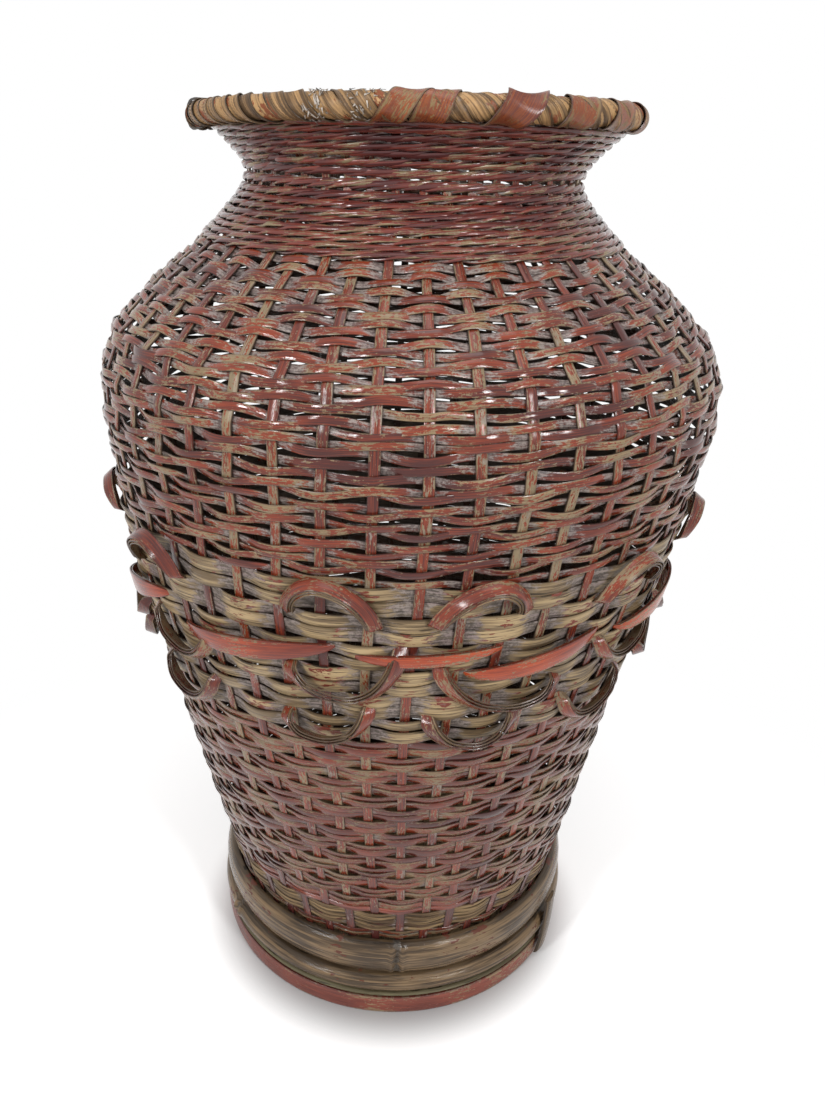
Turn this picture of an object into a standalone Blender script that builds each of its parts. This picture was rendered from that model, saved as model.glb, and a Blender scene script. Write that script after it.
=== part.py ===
"""Woven bamboo flower basket: a shouldered jar on a hooped foot, with a looped belly band.

Forty-eight upright stakes rise from a base ring round a mat. Fine weaving, a band of wide
strips and a twined neck are worked round them, a bound hoop closes the mouth and five
hoops make the foot. Metres, +Z up, origin at the middle of the foot on the ground.
"""
import math

import bmesh
import bpy
import numpy as np

# Clearances
FIT_GAP = 0.0003
LOOP_GAP = 0.0005

# Stakes
STAKE_COUNT = 48
STAKE_PHASE = math.radians(2.5)
STAKE_WIDTH = 0.0031
STAKE_THICKNESS = 0.0008

# Weaving
STRIP_THICKNESS = 0.0009
COURSE_REACH = 0.00175

# Openings of the belly and shoulder's loose weave: a plain grid, staggered from row to row
OPENING_WIDTH = 0.0090
OPENING_HEIGHT = 0.0055
OPENING_COUNT = STAKE_COUNT // 4
OPENING_ROWS = 4

# Foot hoops
INNER_HOOP_THICKNESS = 0.0038
INNER_HOOP_HEIGHT = 0.0118
RED_HOOP_THICKNESS = 0.0052
RED_HOOP_HEIGHT = 0.0087
THIN_HOOP_THICKNESS = 0.0046
THIN_HOOP_HEIGHT = 0.0022
LOWER_HOOP_THICKNESS = 0.0066
LOWER_HOOP_HEIGHT = 0.0092
UPPER_HOOP_THICKNESS = 0.0052
UPPER_HOOP_HEIGHT = 0.0170
HOOP_EDGE_SHARE = 0.45
HOOP_ARC = math.radians(76.0)

# Zones of the wall from the foot upwards: height of each, radius of the weave's crest at its top.
# The base's top is as much wider than the foot as its flare.
FOOT_TOP_R = 0.0790
BASE_WEAVER_HEIGHT = 0.0047
BASE_COURSE_HEIGHT = 0.0126
DIVIDER_HEIGHT = 0.0030
BASE_FLARE = 0.0046
LOWER_HEIGHT = 0.0969
BAND_BOTTOM_R = 0.1031
BAND_HEIGHT = 0.0660
BAND_TOP_R = 0.1156
BELLY_RISE = 0.0335
BELLY_R = 0.1199
TURN_RISE = 0.0150
TURN_R = 0.1192
SHOULDER_RISE = 0.0140
SHOULDER_R = 0.1136
SLOPE_RISE = 0.0140
SLOPE_R = 0.0995
SLOPE_FOOT_RISE = 0.0165
NECK_BOTTOM_R = 0.0790
THROAT_RISE = 0.0085
THROAT_R = 0.0702
NECK_RISE = 0.0130
NECK_R = 0.0625
FLARE_RISE = 0.0090
FLARE_R = 0.0690
LIP_RISE = 0.0055
LIP_R = 0.0750
BAND_COURSES = 6

# Base: a mat in the middle, in a ring that the stakes turn up from
BASE_THICKNESS = 0.0016
STAKE_FOOT_LENGTH = 0.0060
BASE_RING_WIDTH = 0.0040

# Lashed joint of the two round hoops
SPLICE_WIDTH = 0.0090
SPLICE_THICKNESS = 0.0012
SPLICE_DROP = 0.0080
SPLICE_RISE = 0.0075
SPLICE_ANGLE = math.radians(-32.0)
SPLICE_SLANT = math.radians(5.0)
SPLICE_STATION_SHARES = (0.0, 0.5, 1.0)

# Rim
RIM_CENTRE_R = 0.0765
RIM_CORE_R = 0.0037
RIM_CORE_SIDES = 6
WRAP_THICKNESS = 0.0007
WRAP_TURNS = 24
WRAP_SLIT = 0.0010
WRAP_STATIONS = 6

# Looped ornament of the band: one unit every four stakes
LOOP_UNITS = STAKE_COUNT // 4
LOOP_STRIP_WIDTH = 0.0060
LOOP_STRIP_THICKNESS = 0.0014
LOOP_ROW_GAP = 0.0021
ARCH_ROW_GAP = 0.0059
ARCH_RISE = 0.0125
STRAP_LEVEL = 0.0390
STRAP_WIDTH = 0.0092
STRAP_BULGE = 0.0036
UPPER_LOOP_DROP = 0.0125
LOWER_LOOP_DROP = 0.0110
LOOP_TILT = math.radians(50.0)
LOOP_SPAN_SHARE = 0.62
UNIT_STATION_SHARES = (-0.26, -0.12, 0.0, 0.12, 0.26, 0.50)
ARCH_PHASE = math.radians(-103.0)
STRAP_PHASE = math.radians(-118.0)
UPPER_LOOP_PHASE = math.radians(-99.0)
LOWER_LOOP_PHASE = math.radians(-101.5)

# Shading
SMOOTH_ANGLE = math.radians(35.0)

# Derived heights of the foot
THIN_HOOP_Z = RED_HOOP_HEIGHT + FIT_GAP
LOWER_HOOP_Z = THIN_HOOP_Z + THIN_HOOP_HEIGHT + FIT_GAP
UPPER_HOOP_Z = LOWER_HOOP_Z + LOWER_HOOP_HEIGHT + FIT_GAP
FOOT_TOP_Z = UPPER_HOOP_Z + UPPER_HOOP_HEIGHT

# Derived heights of the base
BASE_Z = INNER_HOOP_HEIGHT + FIT_GAP
BASE_TOP_FACE_Z = BASE_Z + BASE_THICKNESS

# Derived heights of the wall, and the radius that the foot carries up to the base's top
BASE_WEAVER_Z = FOOT_TOP_Z + FIT_GAP
BASE_COURSE_Z = BASE_WEAVER_Z + BASE_WEAVER_HEIGHT
DIVIDER_Z = BASE_COURSE_Z + BASE_COURSE_HEIGHT
BASE_TOP_Z = DIVIDER_Z + DIVIDER_HEIGHT
BASE_TOP_R = FOOT_TOP_R + BASE_FLARE
BAND_BOTTOM_Z = BASE_TOP_Z + LOWER_HEIGHT
BAND_TOP_Z = BAND_BOTTOM_Z + BAND_HEIGHT
BELLY_Z = BAND_TOP_Z + BELLY_RISE
TURN_Z = BELLY_Z + TURN_RISE
SHOULDER_Z = TURN_Z + SHOULDER_RISE
SLOPE_Z = SHOULDER_Z + SLOPE_RISE
NECK_BOTTOM_Z = SLOPE_Z + SLOPE_FOOT_RISE
THROAT_Z = NECK_BOTTOM_Z + THROAT_RISE
NECK_Z = THROAT_Z + NECK_RISE
FLARE_Z = NECK_Z + FLARE_RISE
LIP_Z = FLARE_Z + LIP_RISE
WALL_KNOTS = np.array([
    (FOOT_TOP_Z, FOOT_TOP_R),
    (BASE_TOP_Z, BASE_TOP_R),
    (BAND_BOTTOM_Z, BAND_BOTTOM_R),
    (BAND_TOP_Z, BAND_TOP_R),
    (BELLY_Z, BELLY_R),
    (TURN_Z, TURN_R),
    (SHOULDER_Z, SHOULDER_R),
    (SLOPE_Z, SLOPE_R),
    (NECK_BOTTOM_Z, NECK_BOTTOM_R),
    (THROAT_Z, THROAT_R),
    (NECK_Z, NECK_R),
    (FLARE_Z, FLARE_R),
    (LIP_Z, LIP_R),
])

# Derived depths, measured inwards from the crest of the weave
STAKE_DEPTH = COURSE_REACH + STRIP_THICKNESS / 2
SHELL_THICKNESS = STAKE_DEPTH - STAKE_THICKNESS / 2 - FIT_GAP

# Derived sizes of the rim
WRAP_FLAT_SHARE = math.cos(math.pi / WRAP_STATIONS)
WRAP_INNER_R = (RIM_CORE_R + FIT_GAP) / WRAP_FLAT_SHARE
WRAP_OUTER_R = WRAP_INNER_R + WRAP_THICKNESS
RIM_CENTRE_Z = LIP_Z + FIT_GAP + WRAP_OUTER_R * WRAP_FLAT_SHARE

# Derived heights of the looped rows, each clear of the straps in the middle
STRAP_Z = BAND_BOTTOM_Z + STRAP_LEVEL
ROW_REACH = (STRAP_WIDTH + LOOP_STRIP_WIDTH) / 2
ARCH_Z = STRAP_Z + ROW_REACH + ARCH_ROW_GAP
UPPER_LOOP_Z = STRAP_Z - ROW_REACH - LOOP_ROW_GAP
LOWER_LOOP_Z = UPPER_LOOP_Z - UPPER_LOOP_DROP - LOOP_ROW_GAP

STAKE_ANGLES = STAKE_PHASE + np.arange(STAKE_COUNT) * 2 * math.pi / STAKE_COUNT


def wall_radius(height):
    """Crest radius at a height: straight pieces between the knots."""
    z, r = WALL_KNOTS.T
    return np.interp(height, z, r)


def wall_slope(height):
    """Change of the crest radius with height: at a knot the mean of its two sides."""
    z, r = WALL_KNOTS.T
    return np.interp(height, z, np.gradient(r, z))


def radius_at_depth(height, depth):
    """Radius of the surface that lies a depth inside the crest, measured square to the wall."""
    return wall_radius(height) - depth * np.sqrt(1 + wall_slope(height) ** 2)


def material(name, colour, roughness, metallic=0.0):
    """Plain surface colour of one sub-part."""
    made = bpy.data.materials.new(name)
    made.use_nodes = True
    shader = made.node_tree.nodes["Principled BSDF"]
    shader.inputs["Base Color"].default_value = (*colour, 1.0)
    shader.inputs["Roughness"].default_value = roughness
    shader.inputs["Metallic"].default_value = metallic
    return made


def add_object(name, mesh, surface, smooth=True):
    """Link a mesh to the scene as one named sub-part."""
    mesh.validate()
    if smooth:
        mesh.shade_smooth()
        mesh.set_sharp_from_angle(angle=SMOOTH_ANGLE)
    mesh.materials.append(surface)
    made = bpy.data.objects.new(name, mesh)
    bpy.context.collection.objects.link(made)
    return made


def ring_of_sections(name, sections, surface):
    """Closed ring through sections, an array of stations by corners by xyz."""
    stations, corners = sections.shape[:2]
    index = np.arange(stations * corners).reshape(stations, corners)
    ahead = np.roll(index, -1, axis=0)
    faces = np.stack([index, ahead, np.roll(ahead, -1, axis=1), np.roll(index, -1, axis=1)], axis=-1)
    mesh = bpy.data.meshes.new(name)
    mesh.from_pydata(sections.reshape(-1, 3).tolist(), [], faces.reshape(-1, 4).tolist())
    return add_object(name, outward(mesh), surface)


def strip_of_sections(name, sections, surface):
    """Open strip through sections, closed by a cap at each end."""
    stations, corners = sections.shape[:2]
    index = np.arange(stations * corners).reshape(stations, corners)
    here, ahead = index[:-1], index[1:]
    faces = np.stack([here, ahead, np.roll(ahead, -1, axis=1), np.roll(here, -1, axis=1)], axis=-1)
    caps = [index[0].tolist(), index[-1][::-1].tolist()]
    mesh = bpy.data.meshes.new(name)
    mesh.from_pydata(sections.reshape(-1, 3).tolist(), [], faces.reshape(-1, 4).tolist() + caps)
    return add_object(name, outward(mesh), surface)


def outward(mesh):
    """Turn every face of a closed mesh outwards."""
    work = bmesh.new()
    work.from_mesh(mesh)
    bmesh.ops.recalc_face_normals(work, faces=work.faces)
    work.to_mesh(mesh)
    work.free()
    return mesh


def turned_ring(name, outline, surface):
    """Spin a closed outline of radius and height, with a corner of the ring at each stake."""
    work = bmesh.new()
    corners = [work.verts.new(around(STAKE_PHASE, radius, height)) for radius, height in outline]
    edges = [work.edges.new((corners[i - 1], corners[i])) for i in range(len(corners))]
    bmesh.ops.spin(
        work, geom=corners + edges, cent=(0, 0, 0), axis=(0, 0, 1),
        angle=2 * math.pi, steps=STAKE_COUNT, use_merge=True,
    )
    bmesh.ops.recalc_face_normals(work, faces=work.faces)
    mesh = bpy.data.meshes.new(name)
    work.to_mesh(mesh)
    work.free()
    return add_object(name, mesh, surface)


def around(angle, radius, height):
    """Point at an angle, radius and height, for arrays of any matching shape."""
    angle, radius, height = np.broadcast_arrays(angle, radius, height)
    return np.stack([radius * np.cos(angle), radius * np.sin(angle), height], axis=-1)


def zone_levels(bottom, top):
    """Heights that bound the straight pieces of the wall between two heights."""
    knots = WALL_KNOTS[:, 0]
    inside = knots[(knots > bottom) & (knots < top)]
    return np.concatenate([[bottom], inside, [top]])


def woven_shell(name, bottom, top, surface):
    """Fine weaving of one zone as a closed wall just outside the stakes."""
    levels = zone_levels(bottom + FIT_GAP / 2, top - FIT_GAP / 2)
    outer = [(float(wall_radius(z)), float(z)) for z in levels]
    inner = [(float(radius_at_depth(z, SHELL_THICKNESS)), float(z)) for z in levels[::-1]]
    return turned_ring(name, outer + inner, surface)


def openwork_shell(name, bottom, top, surface):
    """Woven shell with a plain grid of openings, a row of them in each of its lower zones.

    A cell lies between two neighbouring stakes. The outer and the inner face of an open
    cell each have a rectangular hole in the middle, and four sides join the two holes.
    """
    work = bmesh.new()
    levels = zone_levels(bottom + FIT_GAP / 2, top - FIT_GAP / 2)
    middles = (levels[:-1] + levels[1:]) / 2
    half_cell = math.pi / STAKE_COUNT
    every = STAKE_COUNT // OPENING_COUNT
    profiles = wall_radius(levels), radius_at_depth(levels, SHELL_THICKNESS)
    skins = [
        [[work.verts.new(point) for point in around(STAKE_ANGLES, radius, level)]
         for radius, level in zip(profile, levels)]
        for profile in profiles
    ]
    for stake in range(STAKE_COUNT):
        after = (stake + 1) % STAKE_COUNT
        for end in (0, -1):
            outer, inner = skins[0][end], skins[1][end]
            work.faces.new((outer[stake], outer[after], inner[after], inner[stake]))
        for row, middle in enumerate(middles):
            is_open = row < OPENING_ROWS and (stake + row * every // 2) % every == 0
            holes = []
            for profile, skin in zip(profiles, skins):
                cell = (skin[row][stake], skin[row][after], skin[row + 1][after], skin[row + 1][stake])
                if not is_open:
                    work.faces.new(cell)
                    continue
                hole = []
                for side, rise in ((-1, -1), (1, -1), (1, 1), (-1, 1)):
                    height = middle + rise * OPENING_HEIGHT / 2
                    flat_r = np.interp(height, levels, profile) * math.cos(half_cell)
                    swing = math.atan2(side * OPENING_WIDTH / 2, flat_r)
                    angle = STAKE_ANGLES[stake] + half_cell + swing
                    hole.append(work.verts.new(around(angle, flat_r / math.cos(swing), height)))
                holes.append(hole)
                for i in range(4):
                    work.faces.new((cell[i - 1], cell[i], hole[i], hole[i - 1]))
            if is_open:
                for i in range(4):
                    work.faces.new((holes[0][i - 1], holes[0][i], holes[1][i], holes[1][i - 1]))
    bmesh.ops.recalc_face_normals(work, faces=work.faces)
    mesh = bpy.data.meshes.new(name)
    work.to_mesh(mesh)
    work.free()
    return add_object(name, mesh, surface)


def woven_course(name, bottom, top, first, surface):
    """Strip that passes outside one stake and inside the next, all the way round.

    Its middle swings between the crest side and the hollow side of the stake circle.
    """
    swing = np.where((np.arange(STAKE_COUNT) + first) % 2 == 0, COURSE_REACH, -COURSE_REACH)
    low, high = bottom + FIT_GAP / 2, top - FIT_GAP / 2
    corners = []
    for height, side in ((low, 1), (high, 1), (high, -1), (low, -1)):
        depth = STAKE_DEPTH - swing - side * STRIP_THICKNESS / 2
        corners.append(around(STAKE_ANGLES, radius_at_depth(height, depth), height))
    return ring_of_sections(name, np.stack(corners, axis=1), surface)


def loop_stations(phase):
    """Angles of the ornament's stations: a few for each unit, closer at the bend."""
    unit = 2 * math.pi / LOOP_UNITS
    shares = np.array(UNIT_STATION_SHARES)
    return (np.arange(LOOP_UNITS)[:, None] * unit + shares * unit + phase).ravel()


def loop_bend(angles, phase):
    """Nought on the flat runs, rising to one in the middle of each loop."""
    unit = 2 * math.pi / LOOP_UNITS
    place = (angles - phase + unit / 2) % unit / unit - 0.5
    return np.where(np.abs(place) < LOOP_SPAN_SHARE / 2, np.cos(math.pi * place / LOOP_SPAN_SHARE) ** 2, 0)


def looped_strip(name, height, rise, width, bulge, tilt, phase, surface):
    """Layered strip round the band that leaves the wall in a loop at every unit.

    The middle line rises or drops by the bend, the strip turns on edge by the tilt
    with its near edge kept on the wall, and a bulge lifts it straight off the wall.
    """
    angles = loop_stations(phase)
    bend = loop_bend(angles, phase)
    lean = tilt * bend
    middle = height + rise * bend
    slope = wall_slope(middle)
    scale = np.sqrt(1 + slope**2)
    along_r, along_z = slope / scale, 1 / scale
    out_r, out_z = 1 / scale, -slope / scale
    turn = np.sign(rise) if rise else 1.0
    across_r = np.cos(lean) * along_r - turn * np.sin(lean) * out_r
    across_z = np.cos(lean) * along_z - turn * np.sin(lean) * out_z
    face_r = np.cos(lean) * out_r + turn * np.sin(lean) * along_r
    face_z = np.cos(lean) * out_z + turn * np.sin(lean) * along_z
    lift = LOOP_GAP + LOOP_STRIP_THICKNESS / 2 + bulge * bend + np.sin(lean) * width / 2
    centre_r = wall_radius(middle) + lift * out_r
    centre_z = middle + lift * out_z
    corners = []
    for side, face in ((-1, 1), (1, 1), (1, -1), (-1, -1)):
        radius = centre_r + side * width / 2 * across_r + face * LOOP_STRIP_THICKNESS / 2 * face_r
        level = centre_z + side * width / 2 * across_z + face * LOOP_STRIP_THICKNESS / 2 * face_z
        corners.append(around(angles, radius, level))
    return ring_of_sections(name, np.stack(corners, axis=1), surface)


def stake_faces():
    """Radius and height of a stake's outer and inner face, from the base ring to the lip."""
    levels = WALL_KNOTS[:, 0]
    outer = radius_at_depth(levels, STAKE_DEPTH - STAKE_THICKNESS / 2)
    inner = radius_at_depth(levels, STAKE_DEPTH + STAKE_THICKNESS / 2)
    ring_r = inner[0] - STAKE_FOOT_LENGTH
    outer_face = [(ring_r, BASE_Z), (outer[0], BASE_Z), *zip(outer, levels)]
    inner_face = [(ring_r, BASE_TOP_FACE_Z), (inner[0], BASE_TOP_FACE_Z), *zip(inner, levels)]
    return np.array(outer_face), np.array(inner_face)


def stake_cage(surface):
    """Stakes turned up out of the base ring, as one body.

    The ring's edge has one narrow face for each stake, and each of those faces is
    carried out over the foot and up the wall as a flat strip.
    """
    outer, inner = stake_faces()
    stations = len(outer)
    ahead = around(STAKE_ANGLES + math.pi / 2, STAKE_WIDTH / 2, 0)[:, None]
    low = around(STAKE_ANGLES[:, None], outer[:, 0], outer[:, 1])
    high = around(STAKE_ANGLES[:, None], inner[:, 0], inner[:, 1])
    verts = np.stack([low - ahead, low + ahead, high + ahead, high - ahead], axis=2)
    index = np.arange(STAKE_COUNT * stations * 4).reshape(STAKE_COUNT, stations, 4)
    here, above = index[:, :-1], index[:, 1:]
    sides = np.stack([here, np.roll(here, -1, axis=2), np.roll(above, -1, axis=2), above], axis=-1)
    hole_r = outer[0, 0] - BASE_RING_WIDTH
    hole = np.stack([around(STAKE_ANGLES, hole_r, z) for z in (BASE_Z, BASE_TOP_FACE_Z)], axis=1)
    rim = index.size + np.arange(STAKE_COUNT * 2).reshape(STAKE_COUNT, 2)
    foot = index[:, 0]
    after, rim_after = np.roll(foot, -1, axis=0), np.roll(rim, -1, axis=0)
    quads = [
        sides.reshape(-1, 4),
        index[:, -1],
        np.stack([foot[:, 1], after[:, 0], after[:, 3], foot[:, 2]], axis=-1),
        np.stack([foot[:, 1], after[:, 0], rim_after[:, 0], rim[:, 0]], axis=-1),
        np.stack([foot[:, 2], after[:, 3], rim_after[:, 1], rim[:, 1]], axis=-1),
        np.stack([rim[:, 0], rim_after[:, 0], rim_after[:, 1], rim[:, 1]], axis=-1),
    ]
    corners = [
        np.stack([foot[:, 0], foot[:, 1], rim[:, 0]], axis=-1),
        np.stack([foot[:, 2], foot[:, 3], rim[:, 1]], axis=-1),
    ]
    points = np.concatenate([verts.reshape(-1, 3), hole.reshape(-1, 3)])
    mesh = bpy.data.meshes.new("stake_cage")
    mesh.from_pydata(points.tolist(), [], np.concatenate(quads).tolist() + np.concatenate(corners).tolist())
    add_object("stake_cage", outward(mesh), surface, smooth=False)
    return hole_r


def base_mat(radius, surface):
    """Round mat that fills the base ring."""
    sections = [around(STAKE_ANGLES, radius, z) for z in (BASE_Z, BASE_TOP_FACE_Z)]
    return strip_of_sections("base_mat", np.array(sections), surface)


def hoop_reach(thickness):
    """How far a half-round hoop stands out: its square edge and the crown of its arc."""
    edge = thickness * HOOP_EDGE_SHARE
    return edge + (thickness - edge) * math.cos(HOOP_ARC / 2)


def round_hoop_outline(inner_r, thickness, bottom, height):
    """Half-round hoop: flat inside, an arc outside between two square edges."""
    edge = thickness * HOOP_EDGE_SHARE
    half = height / 2
    turns = (-math.pi / 2, -HOOP_ARC / 2, HOOP_ARC / 2, math.pi / 2)
    arc = [
        (inner_r + edge + (thickness - edge) * math.cos(t), bottom + half + half * math.sin(t))
        for t in turns
    ]
    return arc + [(inner_r, bottom + height), (inner_r, bottom)]


def flat_hoop_outline(inner_r, thickness, bottom, height):
    """Plain rectangular hoop."""
    outer_r = inner_r + thickness
    top = bottom + height
    return [(outer_r, bottom), (outer_r, top), (inner_r, top), (inner_r, bottom)]


def foot(colours):
    """Five hoops that make the foot, and the lashed joint of the round ones."""
    stake_face_r = float(radius_at_depth(FOOT_TOP_Z, STAKE_DEPTH)) + STAKE_THICKNESS / 2
    inner_seat_r = stake_face_r + FIT_GAP
    seat_r = inner_seat_r + FIT_GAP
    inner = flat_hoop_outline(inner_seat_r - INNER_HOOP_THICKNESS, INNER_HOOP_THICKNESS, 0, INNER_HOOP_HEIGHT)
    red = flat_hoop_outline(seat_r, RED_HOOP_THICKNESS, 0, RED_HOOP_HEIGHT)
    thin = flat_hoop_outline(seat_r, THIN_HOOP_THICKNESS, THIN_HOOP_Z, THIN_HOOP_HEIGHT)
    lower = round_hoop_outline(seat_r, LOWER_HOOP_THICKNESS, LOWER_HOOP_Z, LOWER_HOOP_HEIGHT)
    upper = round_hoop_outline(seat_r, UPPER_HOOP_THICKNESS, UPPER_HOOP_Z, UPPER_HOOP_HEIGHT)
    turned_ring("foot_inner_hoop", inner, colours["tan"])
    turned_ring("foot_red_hoop", red, colours["red"])
    turned_ring("foot_thin_hoop", thin, colours["green"])
    turned_ring("foot_lower_hoop", lower, colours["hoop"])
    turned_ring("foot_upper_hoop", upper, colours["hoop"])
    splice(seat_r, colours["hoop"])


def splice(seat_r, surface):
    """Slanted pad over the lashed ends of the hoops.

    It lies on the lower round hoop, drops past it over the flat hoops and rises past it
    over the foot of the upper one.
    """
    bottom, top = LOWER_HOOP_Z - SPLICE_DROP, UPPER_HOOP_Z + SPLICE_RISE
    radius = seat_r + hoop_reach(max(LOWER_HOOP_THICKNESS, UPPER_HOOP_THICKNESS)) + FIT_GAP
    half = SPLICE_WIDTH / 2 / radius
    sections = []
    for share in SPLICE_STATION_SHARES:
        height = bottom + (top - bottom) * share
        middle = SPLICE_ANGLE + SPLICE_SLANT * (share - 0.5)
        angles = np.array([middle - half, middle + half, middle + half, middle - half])
        reach = np.array([0, 0, SPLICE_THICKNESS, SPLICE_THICKNESS])
        sections.append(around(angles, (radius + reach) / np.cos(half), height))
    return strip_of_sections("foot_splice", np.array(sections), surface)


def rim(colours):
    """Round hoop of the mouth and the flat strip wound round it."""
    turns = (np.arange(RIM_CORE_SIDES) + 0.5) * 2 * math.pi / RIM_CORE_SIDES
    outline = [
        (RIM_CENTRE_R + RIM_CORE_R * math.cos(t), RIM_CENTRE_Z + RIM_CORE_R * math.sin(t))
        for t in turns
    ]
    turned_ring("rim_core", outline, colours["tan"])
    rim_wrap(colours["wrap"])


def rim_wrap(surface):
    """One unbroken strip wound round the hoop; prints its least gap to itself.

    A station at winding angle w lies at w divided by the turns round the mouth, and
    the strip is spread along the hoop, less a slit between neighbouring turns.
    """
    stations = np.arange((2 * WRAP_TURNS - 1) * WRAP_STATIONS // 2 + 1)
    winding = stations / WRAP_STATIONS * 2 * math.pi
    slit = WRAP_SLIT / (RIM_CENTRE_R - RIM_CORE_R)
    half = math.pi / WRAP_TURNS - slit / 2
    corners = []
    for spread, reach in (
        (-1, WRAP_OUTER_R), (0, WRAP_OUTER_R), (1, WRAP_OUTER_R),
        (1, WRAP_INNER_R), (0, WRAP_INNER_R), (-1, WRAP_INNER_R),
    ):
        angle = winding / WRAP_TURNS + spread * half
        radius = RIM_CENTRE_R + reach * np.cos(winding)
        height = RIM_CENTRE_Z + reach * np.sin(winding)
        corners.append(around(angle, radius, height))
    sections = np.stack(corners, axis=1)
    gaps = []
    for shift in (-2, -1, 0, 1, 2):
        far = sections[WRAP_STATIONS + 2 + shift:, (0, 5)][: -2 - shift or None]
        near = sections[2:, (2, 3)][: len(far)]
        gaps.append(np.linalg.norm(far[: len(near)] - near, axis=-1).min())
    print(f"rim_wrap least gap to itself: {min(gaps) * 1000:.2f} mm")
    return strip_of_sections("rim_wrap", sections, surface)


def main():
    for old in list(bpy.data.objects):
        bpy.data.objects.remove(old, do_unlink=True)
    colours = {
        "red": material("red_lacquer", (0.30, 0.05, 0.03), 0.40),
        "tan": material("bare_bamboo", (0.32, 0.22, 0.11), 0.55),
        "green": material("pale_green_bamboo", (0.30, 0.28, 0.16), 0.50),
        "hoop": material("aged_hoop_bamboo", (0.20, 0.13, 0.07), 0.38),
        "wrap": material("rim_binding", (0.26, 0.11, 0.05), 0.45),
        "stake": material("lacquered_stake", (0.22, 0.10, 0.06), 0.50),
        "weave": material("fine_weaving", (0.22, 0.07, 0.05), 0.50),
        "twine": material("neck_twining", (0.16, 0.05, 0.04), 0.45),
        "strip": material("wide_strip", (0.28, 0.19, 0.10), 0.60),
        "loop": material("loop_strip", (0.32, 0.07, 0.04), 0.40),
    }
    foot(colours)
    hole_r = stake_cage(colours["stake"])
    base_mat(hole_r - FIT_GAP, colours["strip"])
    woven_course("base_weavers", BASE_WEAVER_Z, BASE_COURSE_Z, 1, colours["weave"])
    woven_course("base_course", BASE_COURSE_Z, DIVIDER_Z, 0, colours["tan"])
    woven_course("divider_weaver", DIVIDER_Z, BASE_TOP_Z, 1, colours["red"])
    woven_shell("lower_weave", BASE_TOP_Z, BAND_BOTTOM_Z, colours["weave"])
    band_edges = np.linspace(BAND_BOTTOM_Z, BAND_TOP_Z, BAND_COURSES + 1)
    for i in range(BAND_COURSES):
        woven_course(f"band_course_{i + 1}", band_edges[i], band_edges[i + 1], i, colours["strip"])
    looped_strip(
        "upper_arches", ARCH_Z, ARCH_RISE, LOOP_STRIP_WIDTH, 0, LOOP_TILT, ARCH_PHASE, colours["loop"])
    looped_strip("middle_straps", STRAP_Z, 0, STRAP_WIDTH, STRAP_BULGE, 0, STRAP_PHASE, colours["loop"])
    looped_strip(
        "upper_loops", UPPER_LOOP_Z, -UPPER_LOOP_DROP, LOOP_STRIP_WIDTH, 0, LOOP_TILT,
        UPPER_LOOP_PHASE, colours["loop"])
    looped_strip(
        "lower_loops", LOWER_LOOP_Z, -LOWER_LOOP_DROP, LOOP_STRIP_WIDTH, 0, LOOP_TILT,
        LOWER_LOOP_PHASE, colours["loop"])
    openwork_shell("shoulder_weave", BAND_TOP_Z, NECK_BOTTOM_Z, colours["weave"])
    woven_shell("neck_twining", NECK_BOTTOM_Z, LIP_Z, colours["twine"])
    rim(colours)


main()
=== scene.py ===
"""Woven bamboo flower basket: its looks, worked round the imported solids.

The file is laid out as an add-on with one operator for each piece or group of like pieces.
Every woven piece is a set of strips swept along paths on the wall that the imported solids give.
"""
import math

import bpy
import numpy as np
from bpy.props import FloatProperty, FloatVectorProperty, IntProperty, PointerProperty
from mathutils import Matrix, Vector


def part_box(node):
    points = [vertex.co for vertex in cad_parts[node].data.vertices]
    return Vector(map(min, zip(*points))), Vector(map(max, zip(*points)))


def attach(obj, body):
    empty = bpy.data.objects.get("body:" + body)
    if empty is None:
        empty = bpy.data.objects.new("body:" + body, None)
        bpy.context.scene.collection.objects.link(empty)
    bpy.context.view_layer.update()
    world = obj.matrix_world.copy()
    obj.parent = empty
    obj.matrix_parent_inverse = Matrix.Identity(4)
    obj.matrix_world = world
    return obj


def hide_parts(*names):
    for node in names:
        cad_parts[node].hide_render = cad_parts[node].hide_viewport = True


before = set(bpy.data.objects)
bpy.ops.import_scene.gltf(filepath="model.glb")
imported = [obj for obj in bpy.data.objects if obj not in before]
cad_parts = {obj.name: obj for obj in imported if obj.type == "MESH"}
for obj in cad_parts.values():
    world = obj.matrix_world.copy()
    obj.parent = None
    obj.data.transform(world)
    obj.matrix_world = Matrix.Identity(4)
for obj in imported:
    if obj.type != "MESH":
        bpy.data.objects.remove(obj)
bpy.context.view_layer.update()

bl_info = {
    "name": "Woven Flower Basket",
    "version": (1, 0, 0),
    "blender": (4, 5, 0),
    "location": "View3D > Sidebar > Basket",
    "description": "Builds a woven bamboo flower basket with a looped band round its belly",
    "category": "Object",
}

MM = 0.001
DEGREE = math.radians(1.0)
TURN = 2 * math.pi
UP = (0.0, 0.0, 1.0)
WHITE = (1.0, 1.0, 1.0)

STAKES = 48
STAKE_PHASE = math.radians(2.5)
STAKE_PITCH = TURN / STAKES
STAKE_DEPTH = 2.2 * MM
WEAVER_STATIONS = 7
TWINE_STATIONS = 5
RIM_CORE_SIDES = 6

WALL_NODES = ("base_weavers", "lower_weave", "shoulder_weave", "neck_twining")
BAND_NODES = tuple(f"band_course_{number}" for number in range(1, 7))

# Sideways lean of the hand-made wall: height and shift, in millimetres
LEAN_MM = ((0, 0), (60, 0), (110, -1.2), (190, -1.2), (225, 0), (262, 1.4), (290, 1.2), (330, 0), (370, 0))

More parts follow.
